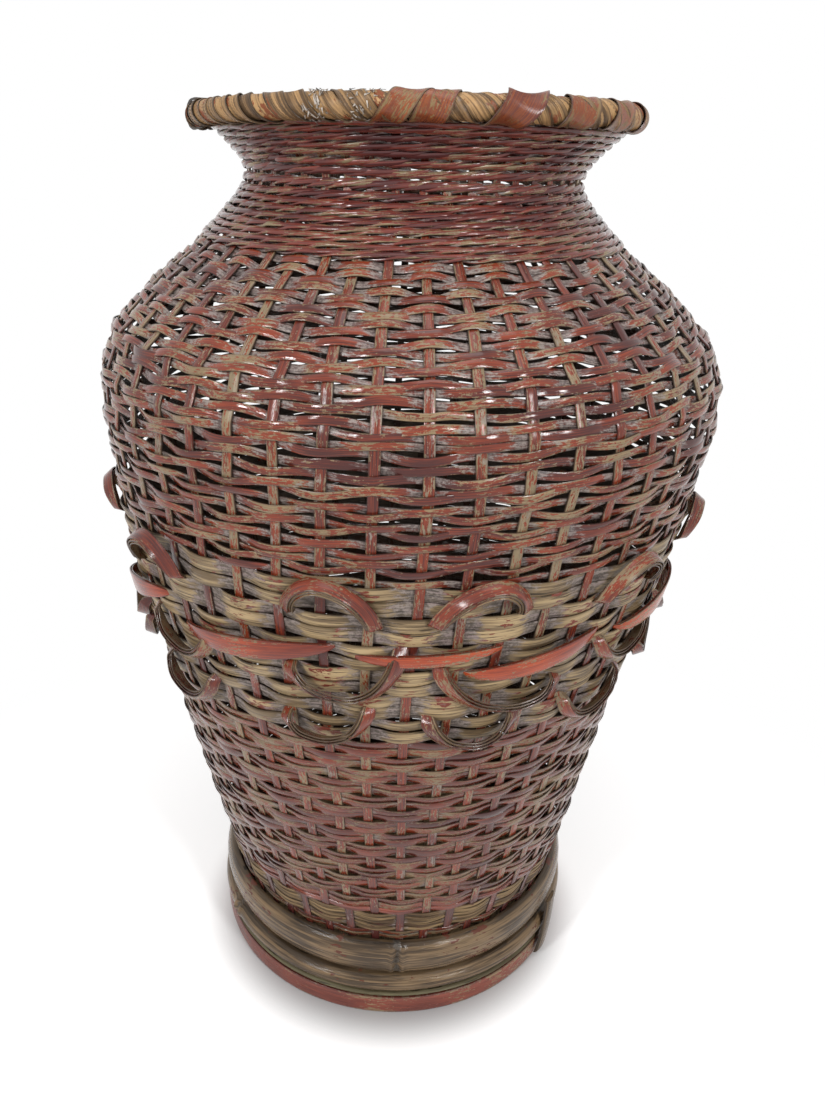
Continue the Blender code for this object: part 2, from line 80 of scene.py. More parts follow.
# Sections of a strip as shares of half its width and of its thickness; INNER is the side towards the stakes
INNER = -0.5
FLAT_SECTION = ((-1, INNER), (-1, 0.2), (-0.84, 0.5), (0.84, 0.5), (1, 0.2), (1, INNER))
BOX_SECTION = ((-1, INNER), (-1, 0.5), (1, 0.5), (1, INNER))
ROUND_SECTION = (
    (-0.6, INNER), (-1, -0.1), (-0.8, 0.3), (-0.35, 0.5), (0.35, 0.5), (0.8, 0.3), (1, -0.1), (0.6, INNER))

# Loops of the band's front: bend angle, level over the band's foot, then reach and run of the
# left leg and of the right leg. Angles in degrees, levels and runs in millimetres.
ARCH_PLAN = (
    (-102.5, 68.5, 6.0, 14.5, 9.4, 19.5),
    (-75.0, 68.5, 9.6, 18.0, 5.6, 13.5),
    (-46.0, 67.0, 8.5, 16.0, 7.0, 15.0),
)
UPPER_LOOP_PLAN = (
    (-98.5, 22.5, 10.5, 12.0, 9.5, 24.0),
    (-67.0, 16.5, 16.0, 23.0, 8.0, 10.0),
    (-41.0, 24.0, 10.0, 14.0, 8.0, 14.0),
)
LOWER_LOOP_PLAN = (
    (-103.0, 3.0, 8.0, 8.0, 9.0, 17.0),
    (-74.0, 0.0, 10.0, 15.0, 7.5, 15.0),
    (-47.0, 0.0, 8.5, 13.0, 10.0, 15.0),
)

# Rows of loops: piece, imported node, plan of the front, then the back's first angle, last angle
# and step in degrees, the way its legs run, its tilt at the bend in degrees, and its seed
LOOP_ROWS = (
    ("arches", "upper_arches", ARCH_PLAN, (-17.0, 229.0, 29.8), -1, 58, 41),
    ("upper_hanging_loops", "upper_loops", UPPER_LOOP_PLAN, (-13.0, 232.0, 30.0), 1, 50, 43),
    ("lower_hanging_loops", "lower_loops", LOWER_LOOP_PLAN, (-17.0, 228.0, 30.0), 1, 50, 45),
)
LOOP_LAYERS = 3

# Width of a loop's layers as a share of the loop strip's, thickness of the band's strips as a
# share of a fine weaver's, and how far the grain is shifted from one strip to the next, in metres
LOOP_WIDTH_SHARE = 0.86
BAND_THICKNESS_SHARE = 1.3
GRAIN_SHIFT = 0.37

# Straps of the band's front: angle and level of the left end and of the right end, share of full width
STRAP_PLAN = (
    (-133.5, 33.0, -100.5, 43.0, 0.92),
    (-97.5, 39.5, -71.5, 42.5, 0.5),
    (-78.0, 31.5, -50.5, 40.5, 0.85),
)

# Wide red turns of the rim's front: angle under the rim and on top of it in degrees, width in millimetres
RIM_RED_PLAN = (
    (-97.0, -90.5, 8.5), (-88.3, -84.5, 9.5), (-72.0, -65.0, 11.5), (-53.7, -50.0, 12.0),
    (-38.3, -34.0, 12.0),
)

# Colours of single finishes, where they differ from those that the user can change
# Dark brown of the side that faces into the basket: partly bare inner bamboo, partly painted shade
INSIDE_BROWN_AND_SHADE = (0.035, 0.023, 0.016)
STAKE_TINT = {"bamboo": (0.33, 0.245, 0.14)}
STRAP_TINT = {"deep_red": (0.16, 0.028, 0.017), "bright_red": (0.47, 0.075, 0.022)}
NECK_TINT = {
    "deep_red": (0.085, 0.025, 0.025), "bright_red": (0.26, 0.055, 0.036), "bamboo": (0.34, 0.25, 0.14)}
FOOT_TINT = {
    "deep_red": (0.13, 0.036, 0.027), "bright_red": (0.27, 0.068, 0.042), "dust": (0.22, 0.18, 0.16)}
RIM_RED_TINT = {"bright_red": (0.29, 0.075, 0.019), "bamboo": (0.33, 0.21, 0.09)}
BAND_TINT = {"pale": (0.50, 0.36, 0.195), "dark": (0.165, 0.112, 0.062), "stain": (0.2, 0.045, 0.028)}
RIM_TINT = {
    "pale": (0.52, 0.31, 0.14), "dark": (0.12, 0.07, 0.035), "stain": (0.25, 0.075, 0.03),
    "dust": (0.25, 0.2, 0.17)}
HOOP_TINT = {
    "pale": (0.245, 0.16, 0.086), "dark": (0.068, 0.045, 0.027), "stain": (0.12, 0.035, 0.02),
    "dust": (0.10, 0.085, 0.07)}
THIN_HOOP_TINT = {"pale": (0.16, 0.145, 0.08), "dark": (0.08, 0.06, 0.03)}
FRAY_TINT = {"pale": (0.6, 0.53, 0.46), "dark": (0.24, 0.2, 0.17)}
SPLINT_PALE = (0.32, 0.215, 0.105)

# Name, place, size and power of each lamp, in metres and watts, and the point that all are aimed at
LAMPS = (
    ("left_lamp", (-0.82, -0.96, 0.85), 0.24, 8.5),
    ("right_lamp", (0.76, -1.07, 0.85), 0.24, 8.5),
    ("top_lamp", (0.1, -0.2, 1.7), 0.9, 5.0),
)
LAMP_AIM = (0.0, 0.0, 0.2)

# Floor: its radius, the middle of the painted shadow round the foot, the distances over which that
# painted shadow ends and over which the floor turns to plain white, and the greys of its paints
FLOOR_RADIUS = 6.0
FLOOR_CORNERS = 96
PAINTED_SHADOW_MIDDLE = (0.0, -12 * MM, 0.0)
PAINTED_SHADOW_EDGE = (68 * MM, 97 * MM)
WHITE_EDGE = (0.14, 0.3)
FLOOR_GREY = 0.78
PAINTED_SHADOW_GREY = 0.42
FLOOR_GLOW = 0.45
WORLD_STRENGTH = 0.3

CAMERA_PLACE = (0.0, -0.3604, 0.3452)
CAMERA_YAW = 0.01163
CAMERA_PITCH = 0.4201
CAMERA_ROLL = 0.03572
CAMERA_FOCAL_PX = 905.0
PHOTO_HEIGHT_PX = 1100
SENSOR_MM = 24.0


def smooth(value, low, high):
    """Rise from nought at low to one at high, flat at both ends."""
    share = np.clip((value - low) / (high - low), 0, 1)
    return share * share * (3 - 2 * share)


def curve_through(where, knots, values):
    """Cubic pieces through knots; the slope at a knot is the mean slope of its two sides."""
    knots, values = np.asarray(knots, float), np.asarray(values, float)
    slope = np.gradient(values, knots)
    piece = np.clip(np.searchsorted(knots, where) - 1, 0, len(knots) - 2)
    step = knots[piece + 1] - knots[piece]
    t = np.clip((where - knots[piece]) / step, 0, 1)
    start = (1 + 2 * t) * (1 - t) ** 2 * values[piece] + t * (1 - t) ** 2 * step * slope[piece]
    end = t * t * (3 - 2 * t) * values[piece + 1] - t * t * (1 - t) * step * slope[piece + 1]
    return start + end


def unit(vectors):
    """Vectors of length one, along the last axis."""
    return vectors / np.linalg.norm(vectors, axis=-1, keepdims=True)


def round_axis(radius, angle, level):
    """Points at a radius and an angle round the basket's axis, at a level."""
    return np.stack(np.broadcast_arrays(radius * np.cos(angle), radius * np.sin(angle), level), -1)


def sideways(angle):
    """Unit vectors along a ring round the axis, towards a growing angle."""
    return np.stack([-np.sin(angle), np.cos(angle), 0 * angle], -1)


def wander(chance, rows, knots, where):
    """Random values from -1 to 1 at knots round a ring, joined by smooth steps; where counts knots."""
    values = chance.uniform(-1, 1, (rows, knots))
    knot = np.floor(where).astype(int)
    share = smooth(where - knot, 0, 1)
    before, after = values[:, knot % knots], values[:, (knot + 1) % knots]
    return before + (after - before) * share


def stroll(chance, rows, knots, share):
    """The same along strips with two ends, by the share of their length."""
    return wander(chance, rows, knots, share * (knots - 1))


def shaded(colour, share):
    """A share of each part of a colour."""
    return tuple(share * part for part in colour)


def node_points(name):
    """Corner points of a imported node's mesh."""
    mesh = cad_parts[name].data
    points = np.empty(len(mesh.vertices) * 3, np.float32)
    mesh.vertices.foreach_get("co", points)
    return points.reshape(-1, 3)


class Wall:
    """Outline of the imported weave: radius, slope and length along the wall at each height."""

    def __init__(self):
        """Take the largest radius at each level that holds a whole ring of corners."""
        same_level, next_level, drop, samples = 0.02 * MM, 1 * MM, 40 * MM, 1200
        levels, radii = [], []
        for name in WALL_NODES:
            points = node_points(name).astype(float)
            radius = np.hypot(points[:, 0], points[:, 1])
            for level, count in zip(*np.unique(np.round(points[:, 2], 5), return_counts=True)):
                whole_ring = count >= 2 * STAKES
                if whole_ring and (not levels or level - levels[-1] > next_level):
                    levels.append(level)
                    radii.append(radius[np.abs(points[:, 2] - level) < same_level].max())
        levels.insert(0, levels[0] - drop)
        radii.insert(0, radii[0])
        self.heights = np.linspace(levels[0], levels[-1] + 2 * MM, samples)
        self.radii = curve_through(self.heights, levels, radii)
        slope = np.gradient(self.radii, self.heights)
        self.tilts = -np.arctan(slope)
        step = np.hypot(np.diff(self.radii), np.diff(self.heights))
        self.arcs = np.concatenate([[0], np.cumsum(step)])
        self.arcs -= np.interp(levels[1], self.heights, self.arcs)

    def arc(self, height):
        """Length along the wall, from the top of the foot, at a height."""
        return np.interp(height, self.heights, self.arcs)

    def span(self, node):
        """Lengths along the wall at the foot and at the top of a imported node."""
        return [self.arc(corner.z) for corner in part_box(node)]

    def lean(self, height):
        """Sideways shift of the wall at a height."""
        knots, shifts = np.array(LEAN_MM, float).T * MM
        return curve_through(height, knots, shifts)

    def frame(self, angle, arc):
        """Unit vectors at a place on the wall: outwards, and up along the wall."""
        tilt = np.interp(arc, self.arcs, self.tilts)
        return round_axis(np.cos(tilt), angle, np.sin(tilt)), round_axis(-np.sin(tilt), angle, np.cos(tilt))

    def place(self, angle, arc, depth):
        """Point at an angle and a length along the wall, a depth inside its crest."""
        tilt = np.interp(arc, self.arcs, self.tilts)
        radius = np.interp(arc, self.arcs, self.radii) - depth * np.cos(tilt)
        height = np.interp(arc, self.arcs, self.heights) - depth * np.sin(tilt)
        points = round_axis(radius, angle, height)
        points[..., 0] += self.lean(height)
        return points


class Bundle:
    """Strips gathered into one mesh, each a section swept along a path.

    A vertex is the path's point, plus the section's first share of half the width across,
    plus its second share of the thickness outwards.
    """

    def __init__(self):
        self.points, self.faces, self.uvs, self.facts, self.hidden = [], [], [], [], []
        self.count = 0
        self.strips = 0

    def add(self, path, across, out, width, thickness, section=FLAT_SECTION, closed=False,
            crest=1.0, chance=0.5, tone=0.5):
        """Add strips: path, across and out are arrays of strips by stations by xyz.

        On the strips' own map, u is the length from the start, v the place across; each
        strip's map is shifted so that no two show the same grain.
        """
        section = np.array(section, float)
        across, out = np.broadcast_to(across, path.shape), np.broadcast_to(out, path.shape)
        rows, stations = path.shape[:2]
        corners = len(section)
        spread = np.broadcast_to(width, (rows, stations))[..., None] / 2 * section[:, 0]
        rise = np.broadcast_to(thickness, (rows, stations))[..., None] * section[:, 1]
        points = (
            path[:, :, None] + across[:, :, None] * spread[..., None] + out[:, :, None] * rise[..., None])
        index = self.count + np.arange(rows * stations * corners).reshape(rows, stations, corners)
        here = index if closed else index[:, :-1]
        ahead = np.roll(index, -1, axis=1) if closed else index[:, 1:]
        quads = np.stack([here, ahead, np.roll(ahead, -1, axis=2), np.roll(here, -1, axis=2)], axis=-1)

        run = np.linalg.norm(np.diff(path, axis=1), axis=-1)
        if closed:
            last = np.linalg.norm(path[:, :1] - path[:, -1:], axis=-1)
            run = np.concatenate([run, last], axis=1)
        length = np.concatenate([np.zeros((rows, 1)), np.cumsum(run, axis=1)], axis=1)
        shift = GRAIN_SHIFT * (self.strips + np.arange(rows))[:, None]
        at_u, to_u = (length + shift)[:, :-1, None], (length + shift)[:, 1:, None]
        at_v = (spread + shift[..., None])[:, : here.shape[1]]
        next_v = np.roll(at_v, -1, axis=2)
        uv = np.stack([
            np.stack(np.broadcast_arrays(u, v), axis=-1)
            for u, v in ((at_u, at_v), (to_u, at_v), (to_u, next_v), (at_u, next_v))
        ], axis=3)

        course = np.roll(path, -1, axis=1)[:, :-1] - path[:, :-1]
        handed = (np.cross(course, across[:, :-1]) * out[:, :-1]).sum(axis=(1, 2))
        flip = handed < 0
        quads[flip] = quads[flip][..., ::-1]
        uv[flip] = uv[flip][..., ::-1, :]
        self.faces.append(quads.reshape(-1, 4))
        self.uvs.append(uv.reshape(-1, 2))
        if not closed:
            self.cap(index[:, 0], flip)
            self.cap(index[:, -1], ~flip)

        facts = np.empty((rows, stations, corners, 4))
        facts[..., 2] = section[:, 0] / 2 + 0.5
        for channel, fact in ((0, crest), (1, chance), (3, tone)):
            facts[..., channel] = np.broadcast_to(fact, (rows, stations))[..., None]
        self.facts.append(facts.reshape(-1, 4))
        # Mask of the inner side, which the finishes turn to bare brown mixed with painted shade
        self.hidden.append(np.broadcast_to(section[:, 1] == INNER, facts.shape[:3]).ravel())
        self.points.append(points.reshape(-1, 3))
        self.count += points.size // 3
        self.strips += rows

    def cap(self, ring, turned):
        """Close one end of each strip with quads from side to side; turned ones face the other way."""
        corners = ring.shape[1]
        first = np.arange(corners // 2 - 1)
        last = corners - 1 - first
        quads = np.stack([ring[:, first], ring[:, first + 1], ring[:, last - 1], ring[:, last]], axis=-1)
        quads[turned] = quads[turned][..., ::-1]
        self.faces.append(quads.reshape(-1, 4))
        self.uvs.append(np.zeros((quads.size, 2)))

    def lay(self, angle, arc, depth, width, thickness, **look):
        """Add strips that lie flat along the wall, at a depth inside its crest."""
        out, up = WALL.frame(angle, arc)
        self.add(WALL.place(angle, arc, depth), up, out, width, thickness, **look)

    def build(self, name, finish, replaced, sharp=40.0):
        """Make the mesh and hand it to the frame as one visible piece."""
        mesh = bpy.data.meshes.new(name)
        faces = np.concatenate(self.faces)
        mesh.from_pydata(np.concatenate(self.points).tolist(), [], faces.tolist())
        mesh.uv_layers.new(name="strip").data.foreach_set("uv", np.concatenate(self.uvs).ravel())
        facts = mesh.color_attributes.new("facts", "FLOAT_COLOR", "POINT")
        facts.data.foreach_set("color", np.concatenate(self.facts).ravel())
        hidden = mesh.attributes.new("hidden", "FLOAT", "POINT")
        hidden.data.foreach_set("value", np.concatenate(self.hidden).astype(np.float32))
        mesh.shade_smooth()
        mesh.set_sharp_from_angle(angle=sharp * DEGREE)
        mesh.materials.append(finish)
        piece = bpy.data.objects.new(name, mesh)
        bpy.context.scene.collection.objects.link(piece)
        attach(piece, "root")
        if replaced:
            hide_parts(*replaced)


class Field:
    """One output socket. Arithmetic on it adds the Math nodes that work it out."""

    def __init__(self, nodes, socket):
        self.nodes = nodes
        self.socket = socket

    def math(self, operation, *terms):
        """What a Math node makes of the terms."""
        return self.nodes.field("ShaderNodeMath", {"operation": operation}, dict(enumerate(terms)))

    def __add__(self, other):
        return self.math("ADD", self, other)

    def __sub__(self, other):
        return self.math("SUBTRACT", self, other)

    def __rsub__(self, other):
        return self.math("SUBTRACT", other, self)

    def __mul__(self, other):
        return self.math("MULTIPLY", self, other)

    __radd__ = __add__
    __rmul__ = __mul__

    def size(self):
        """The value without its sign."""
        return self.math("ABSOLUTE", self)

    def ramp(self, low, high):
        """Smooth rise from nought at low to one at high."""
        return self.nodes.field("ShaderNodeMapRange", {"interpolation_type": "SMOOTHSTEP"}, {
            0: self, 1: low, 2: high, 3: 0.0, 4: 1.0})

    def clear(self):
        """The same value, held between nought and one."""
        return self.nodes.field("ShaderNodeClamp", {}, {0: self, 1: 0.0, 2: 1.0})


class Nodes:
    """A node tree, and the one way in which nodes are added to it."""

    def __init__(self, tree):
        self.tree = tree

    def node(self, kind, settings, sockets):
        """Add a node, set it up, then give its sockets their values or links."""
        node = self.tree.nodes.new(kind)
        for name, value in settings.items():
            setattr(node, name, value)
        for key, value in sockets.items():
            self.give(node.inputs[key], value)
        return node

    def field(self, kind, settings, sockets, output=0):
        """Add a node and take one of its outputs."""
        return Field(self, self.node(kind, settings, sockets).outputs[output])

    def give(self, socket, value):
        """Link a field to a socket, or set the socket's own value."""
        if isinstance(value, Field):
            self.tree.links.new(value.socket, socket)
        elif isinstance(value, (tuple, list)) and socket.type == "RGBA":
            socket.default_value = (*value, 1.0)
        else:
            socket.default_value = value

    def backdrop_rays(self):
        """One for a ray that shows the backdrop: the camera's own, a reflected or a transmitted one."""
        path = self.node("ShaderNodeLightPath", {}, {})
        camera, glossy, through = (Field(self, path.outputs[name]) for name in (
            "Is Camera Ray", "Is Glossy Ray", "Is Transmission Ray"))
        return (camera + glossy + through).clear()


class Finish(Nodes):
    """One surface finish: its material and the nodes that make it."""

    def __init__(self, name):
        self.material = bpy.data.materials.new(name)
        self.material.use_nodes = True
        super().__init__(self.material.node_tree)
        self.shader = self.tree.nodes["Principled BSDF"]

    def facts(self):
        """What the mesh tells of a place: crest, chance, nearness to the edge, tone."""
        source = self.node("ShaderNodeAttribute", {"attribute_name": "facts"}, {})
        parts = self.node("ShaderNodeSeparateColor", {}, {0: Field(self, source.outputs["Color"])})
        crest, chance, across = (Field(self, socket) for socket in parts.outputs)
        return crest, chance, (across * 2.0 - 1.0).size(), Field(self, source.outputs["Alpha"])

    def bare_and_shaded_inside(self, share, colour, dark):
        """The colour, turned by a share to dark on the inner side: partly bare brown, partly painted shade.
        """
        hidden = self.field("ShaderNodeAttribute", {"attribute_name": "hidden"}, {}, "Fac")
        return self.mix(hidden * share, colour, dark)

    def along(self, run, across):
        """Place on the strip, drawn out by a run along it and one across it, in millimetres."""
        scale = (1 / (run * MM), 1 / (across * MM), 1.0)
        return self.field("ShaderNodeVectorMath", {"operation": "MULTIPLY"}, {
            0: self.field("ShaderNodeUVMap", {"uv_map": "strip"}, {}), 1: scale})

    def spot(self, size):
        """Place in the object, in units of a size in millimetres."""
        return self.field("ShaderNodeVectorMath", {"operation": "SCALE"}, {
            0: self.field("ShaderNodeTexCoord", {}, {}, "Object"), "Scale": 1 / (size * MM)})

    def noise(self, where, detail=2.0, roughness=0.5):
        """Random field spread evenly from nought to one."""
        return self.field("ShaderNodeTexNoise", {}, {
            "Vector": where, "Scale": 1.0, "Detail": detail, "Roughness": roughness}).ramp(0.27, 0.73)

    def mix(self, share, first, second):
        """Colour that goes from the first to the second as the share rises."""
        return self.field("ShaderNodeMix", {"data_type": "RGBA"}, {0: share, 6: first, 7: second}, 2)

    def dusted(self, film, colour, dust, patch, grit, fibre):
        """The colour under a film of dust, dark and pale in patches."""
        mottle = (patch * 0.45 + grit * 0.3 + fibre * 0.25).ramp(0.3, 0.72)
        return self.mix(film * 0.88, colour, self.mix(mottle, shaded(dust, 0.25), dust))

    def bump(self, height, distance, strength):
        """Normal of a fine relief."""
        return self.field(
            "ShaderNodeBump", {}, {"Height": height, "Distance": distance, "Strength": strength}, "Normal")

    def surface(self, colour, roughness, normal, specular):
        """Give the shader what varies over the surface, and how strongly it reflects."""
        for name, value in (("Base Color", colour), ("Roughness", roughness), ("Normal", normal)):
            self.give(self.shader.inputs[name], value)
        self.shader.inputs["Specular IOR Level"].default_value = specular
        return self.material


def lacquered(name, wear=0.43, dusting=0.27, gloss=0.03, shade=1.0, grain=(2.8, 0.7), inside=0.9, **tint):
    """Worn lacquer on split bamboo.

    Tan shows through in ragged patches that run with the fibres, more along the edges, and
    some lengths are rubbed bare. Grey and brown dust lies where a strip goes in behind a stake,
    over a length that differs from crossing to crossing. The strip's edges are darkened by painted
    shade where strips meet. Wear, dusting and inside are shares, and the grain is a patch's length
    and width in millimetres; inside is how far the side that faces into the basket turns to a dark
    mix of bare brown and painted shade. The colours are the user's, darkened by the shade where
    the tint gives none of its own; the shade paints the dimmer light of the basket's lower parts.
    """
    tint = {key: shaded(colour, shade) for key, colour in colours().items()} | tint
    deep, bright, bare, dust = (tint[key] for key in ("deep_red", "bright_red", "bamboo", "dust"))
    finish = Finish(name)
    crest, chance, edge, tone = finish.facts()
    fibre = finish.noise(finish.along(14, 0.4))
    patch = finish.noise(finish.along(*grain), 3.0, 0.7)
    blotch = finish.noise(finish.along(9, 5))
    cloud = finish.noise(finish.spot(26), 1.0)
    grit = finish.noise(finish.spot(0.9), 3.0, 0.7)
    depth = (chance * 0.25 + tone * 0.2 + cloud * 0.2 + fibre * 0.35).ramp(0.25, 0.75)
    lacquer = finish.mix(depth, deep, bright)
    rub = patch * 0.36 + chance * 0.26 + blotch * 0.16 + cloud * 0.12 + grit * 0.1
    worn = (rub + edge.ramp(0.55, 1.0) * 0.13).ramp(1.0 - wear, 1.05 - wear)
    wood = finish.mix(fibre * 0.5 + grit * 0.2 + chance * 0.3, shaded(bare, 0.36), bare)
    film = (1.0 - crest) * 0.55 + blotch * 0.34 + patch * 0.26 + tone * 0.1 + grit * 0.1
    film = film.ramp(0.98 - dusting, 1.22 - dusting)
    colour = finish.dusted(film, finish.mix(worn, lacquer, wood), dust, patch, grit, fibre)
    # Painted shade: the strip's edges turn towards half the deep red where strips meet
    colour = finish.mix(edge.ramp(0.84, 1.0) * 0.7, colour, shaded(deep, 0.5))
    # Inner side: bare brown mixed with painted shade
    colour = finish.bare_and_shaded_inside(inside, colour, INSIDE_BROWN_AND_SHADE)
    relief = finish.bump(fibre * 0.5 - worn * 0.7 + grit * 0.3, 0.1 * MM, 0.35)
    return finish.surface(colour, worn * 0.14 + film * 0.2 + blotch * 0.1 + gloss, relief, 0.42)


def bare_strip(name, pale, dark, stain=None, dust=None, dusting=0.0, red=0.0, gloss=0.5, cracks=0.85):
    """Bare split bamboo: fibres, dark cracks, dust in the hollows, some lacquer left.

    Dusting, red and cracks are shares of the surface. The stain and the dust are the user's
    deep red and dust where none is given. The edges darken with painted shade where strips meet,
    and the side that faces into the basket turns to bare brown mixed with painted shade.
    """
    stain, dust = stain or colours()["deep_red"], dust or colours()["dust"]
    finish = Finish(name)
    crest, chance, edge, tone = finish.facts()
    fibre = finish.noise(finish.along(22, 0.5))
    crack = finish.noise(finish.along(13, 0.7))
    streak = finish.noise(finish.along(28, 1.5))
    patch = finish.noise(finish.along(4.5, 1.4), 3.0, 0.6)
    blotch = finish.noise(finish.along(10, 6))
    grit = finish.noise(finish.spot(0.9), 3.0, 0.7)
    shade = streak * 0.35 + fibre * 0.25 + chance * 0.25 + tone * 0.15
    wood = finish.mix(shade.ramp(0.28, 0.72), dark, pale)
    # Dark cracks in the bamboo, plus painted shade along the strip's edges where strips meet
    split = (crack.ramp(0.74, 0.96) * cracks + edge.ramp(0.7, 1.0) * 0.6).clear()
    wood = finish.mix(split, wood, shaded(dark, 0.3))
    left = (patch * 0.4 + chance * 0.3 + blotch * 0.3).ramp(1.0 - red, 1.04 - red)
    film = (1.0 - crest) * 0.58 + blotch * 0.34 + patch * 0.22 + streak * 0.14 + grit * 0.1
    film = film.ramp(0.98 - dusting, 1.22 - dusting)
    colour = finish.dusted(film, finish.mix(left, wood, stain), dust, patch, grit, fibre)
    # Inner side: bare brown mixed with painted shade
    colour = finish.bare_and_shaded_inside(0.9, colour, INSIDE_BROWN_AND_SHADE)
    relief = finish.bump(fibre * 0.6 + grit * 0.25 + left * 0.5 - crack.ramp(0.8, 1.0), 0.14 * MM, 0.8)
    return finish.surface(colour, film * 0.25 + patch * 0.15 + gloss, relief, 0.25)


def length_property(name, description, default):
    """A size that the user can change, given in millimetres."""
    return FloatProperty(
        name=name, description=description, default=default * MM, min=0.2 * MM, unit="LENGTH")


def count_property(name, description, default, least=4):
    """A count that the user can change."""
    return IntProperty(name=name, description=description, default=default, min=least)


def colour_property(name, description, default):
    """A colour that the user can change."""
    return FloatVectorProperty(
        name=name, description=description, default=default, size=3, subtype="COLOR", min=0.0, max=1.0)


class BasketSizes(bpy.types.PropertyGroup):
    """Sizes of the weaving that a maker would choose."""

    wall_strip: length_property("Wall Strip", "Width of the belly's fine weavers", 2.75)
    foot_strip: length_property("Lower Strip", "Width of the lower wall's fine weavers", 3.9)
    band_strip: length_property("Band Strip", "Width of the band's wide strips", 5.8)
    stake: length_property("Stake", "Width of an upright stake", 3.5)
    loop_strip: length_property("Loop Strip", "Width of the strips bent into loops", 5.8)
    strip_thickness: length_property("Thickness", "Thickness of a fine weaver", 0.5)
    upper_pairs: count_property("Upper Pairs", "Pairs of weavers over the band", 17)
    lower_pairs: count_property("Lower Pairs", "Pairs of weavers under the band", 14)
    neck_rows: count_property("Neck Rows", "Rows of twining round the neck", 16)
    rim_turns: count_property("Rim Turns", "Turns of the strip bound round the rim", 78, least=20)


class BasketColours(bpy.types.PropertyGroup):
    """Colours of lacquer, bamboo and dust."""

    deep_red: colour_property("Deep Red", "Lacquer where thick or in shade", (0.075, 0.019, 0.016))
    bright_red: colour_property("Bright Red", "Lacquer where thin and polished", (0.285, 0.048, 0.018))
    bamboo: colour_property("Bamboo", "Bare bamboo where the lacquer is worn", (0.345, 0.24, 0.13))
    olive: colour_property("Olive Bamboo", "Weathered bamboo of mat and hidden hoops", (0.27, 0.18, 0.09))
    umber: colour_property("Umber", "Old brown bamboo skin", (0.11, 0.062, 0.030))
    dust: colour_property("Dust", "Grey dust in the hollows", (0.32, 0.268, 0.248))


def sizes():
    """The sizes that the user can change."""
    return bpy.context.scene.basket_sizes


def colours():
    """Colours that the user can change, as plain tuples by name."""
    group = bpy.context.scene.basket_colours
    return {name: tuple(getattr(group, name)) for name in BasketColours.__annotations__}


WALL = Wall()
BAND_FOOT = WALL.span(BAND_NODES[0])[0]
BAND_TOP = WALL.span(BAND_NODES[-1])[1]


def places_round(per_stake):
    """Places once round the basket: their count in stakes, and their angle."""
    where = np.arange(STAKES * per_stake) / per_stake
    return where, STAKE_PHASE + where * STAKE_PITCH


def stake_angles():
    """Angle of each stake, as a column."""
    return STAKE_PHASE + np.arange(STAKES)[:, None] * STAKE_PITCH


def weave_pairs(piece, finish, nodes, span, pairs, width, thickness, seed,
                reach=1.0 * MM, tight=0.10, loose=0.28, slant=0.1, drift=1.0, sink=0.0):
    """Make a piece of pairs of strips in plain weave over a span of the wall.

    The depth follows a cosine with one crest every two stakes, and each pair's crests lie at
    its neighbours' hollows. A strip runs straight from the stake it passes over to those it
    passes behind: there the pair stands further apart. Reach is how far a crest stands out;
    tight, loose, slant and drift are shares of the pitch, and sink lowers the upper crests in
    the looks alone, so that dust gathers there.
    """
    low, high = span
    chance = np.random.default_rng(seed)
    where, angle = places_round(WEAVER_STATIONS)
    rows = 2 * pairs
    pair, side = np.arange(rows) // 2, np.arange(rows) % 2 * 2 - 1
    step = where + pair[:, None]
    over = np.cos(math.pi * step)
    away = np.abs((step + 1) % 2 - 1)
    pitch = (high - low) / rows
    opening = loose * (1 + 0.85 * wander(chance, pairs, STAKES, where)[pair])
    apart = pitch / 2 * (1 - tight + (tight + opening) * away**1.15)
    stray = wander(chance, pairs, 16, where / 3)[pair] * 0.14 + wander(chance, rows, 12, where / 4) * 0.16
    stray = drift * (stray + wander(chance, rows, STAKES, where) * 0.1)
    arc = low + (2 * pair[:, None] + 1) * pitch + side[:, None] * apart
    arc = arc + pitch * (stray + slant * np.sin(math.pi * step))
    depth = STAKE_DEPTH - reach * np.sign(over) * np.abs(over) ** 0.8
    depth = depth + wander(chance, rows, STAKES, where + 0.5) * 0.12 * MM
    out, up = WALL.frame(angle, arc)
    twist = ((6 + wander(chance, rows, STAKES, where) * 9) * DEGREE)[..., None]
    across = up * np.cos(twist) + out * np.sin(twist)
    out = out * np.cos(twist) - up * np.sin(twist)
    slow, quick = wander(chance, rows, 12, where / 4), wander(chance, rows, STAKES, where)
    girth = width * (1 + 0.08 * slow + 0.07 * quick)
    height = np.arange(rows)[:, None] / rows
    bundle = Bundle()
    bundle.add(
        WALL.place(angle, arc, depth), across, out, girth, thickness, closed=True,
        crest=over / 2 + 0.5 - sink * smooth(height, 0.5, 0.95),
        chance=wander(chance, rows, STAKES, where) / 2 + 0.5, tone=chance.uniform(0, 1, (rows, 1)))
    bundle.build(piece, finish, nodes)


class BASKET_OT_lower_wall(bpy.types.Operator):
    """Weave the fine pairs of the lower wall"""
    bl_idname = "basket.lower_wall"
    bl_label = "Lower Wall"

    def execute(self, context):
        size = sizes()
        # Colours darkened to 0.8 by painted shade, for the lower wall's dimmer light
        finish = lacquered("lower wall lacquer", dusting=0.08, gloss=0.12, shade=0.8, grain=(3.4, 0.5))
        weave_pairs(
            "lower_wall_weavers", finish, ["lower_weave"], WALL.span("lower_weave"),
            pairs=size.lower_pairs, width=size.foot_strip, thickness=size.strip_thickness, seed=11,
            reach=0.6 * MM, tight=0.04, loose=-0.06, slant=0.05, drift=0.5)
        return {"FINISHED"}


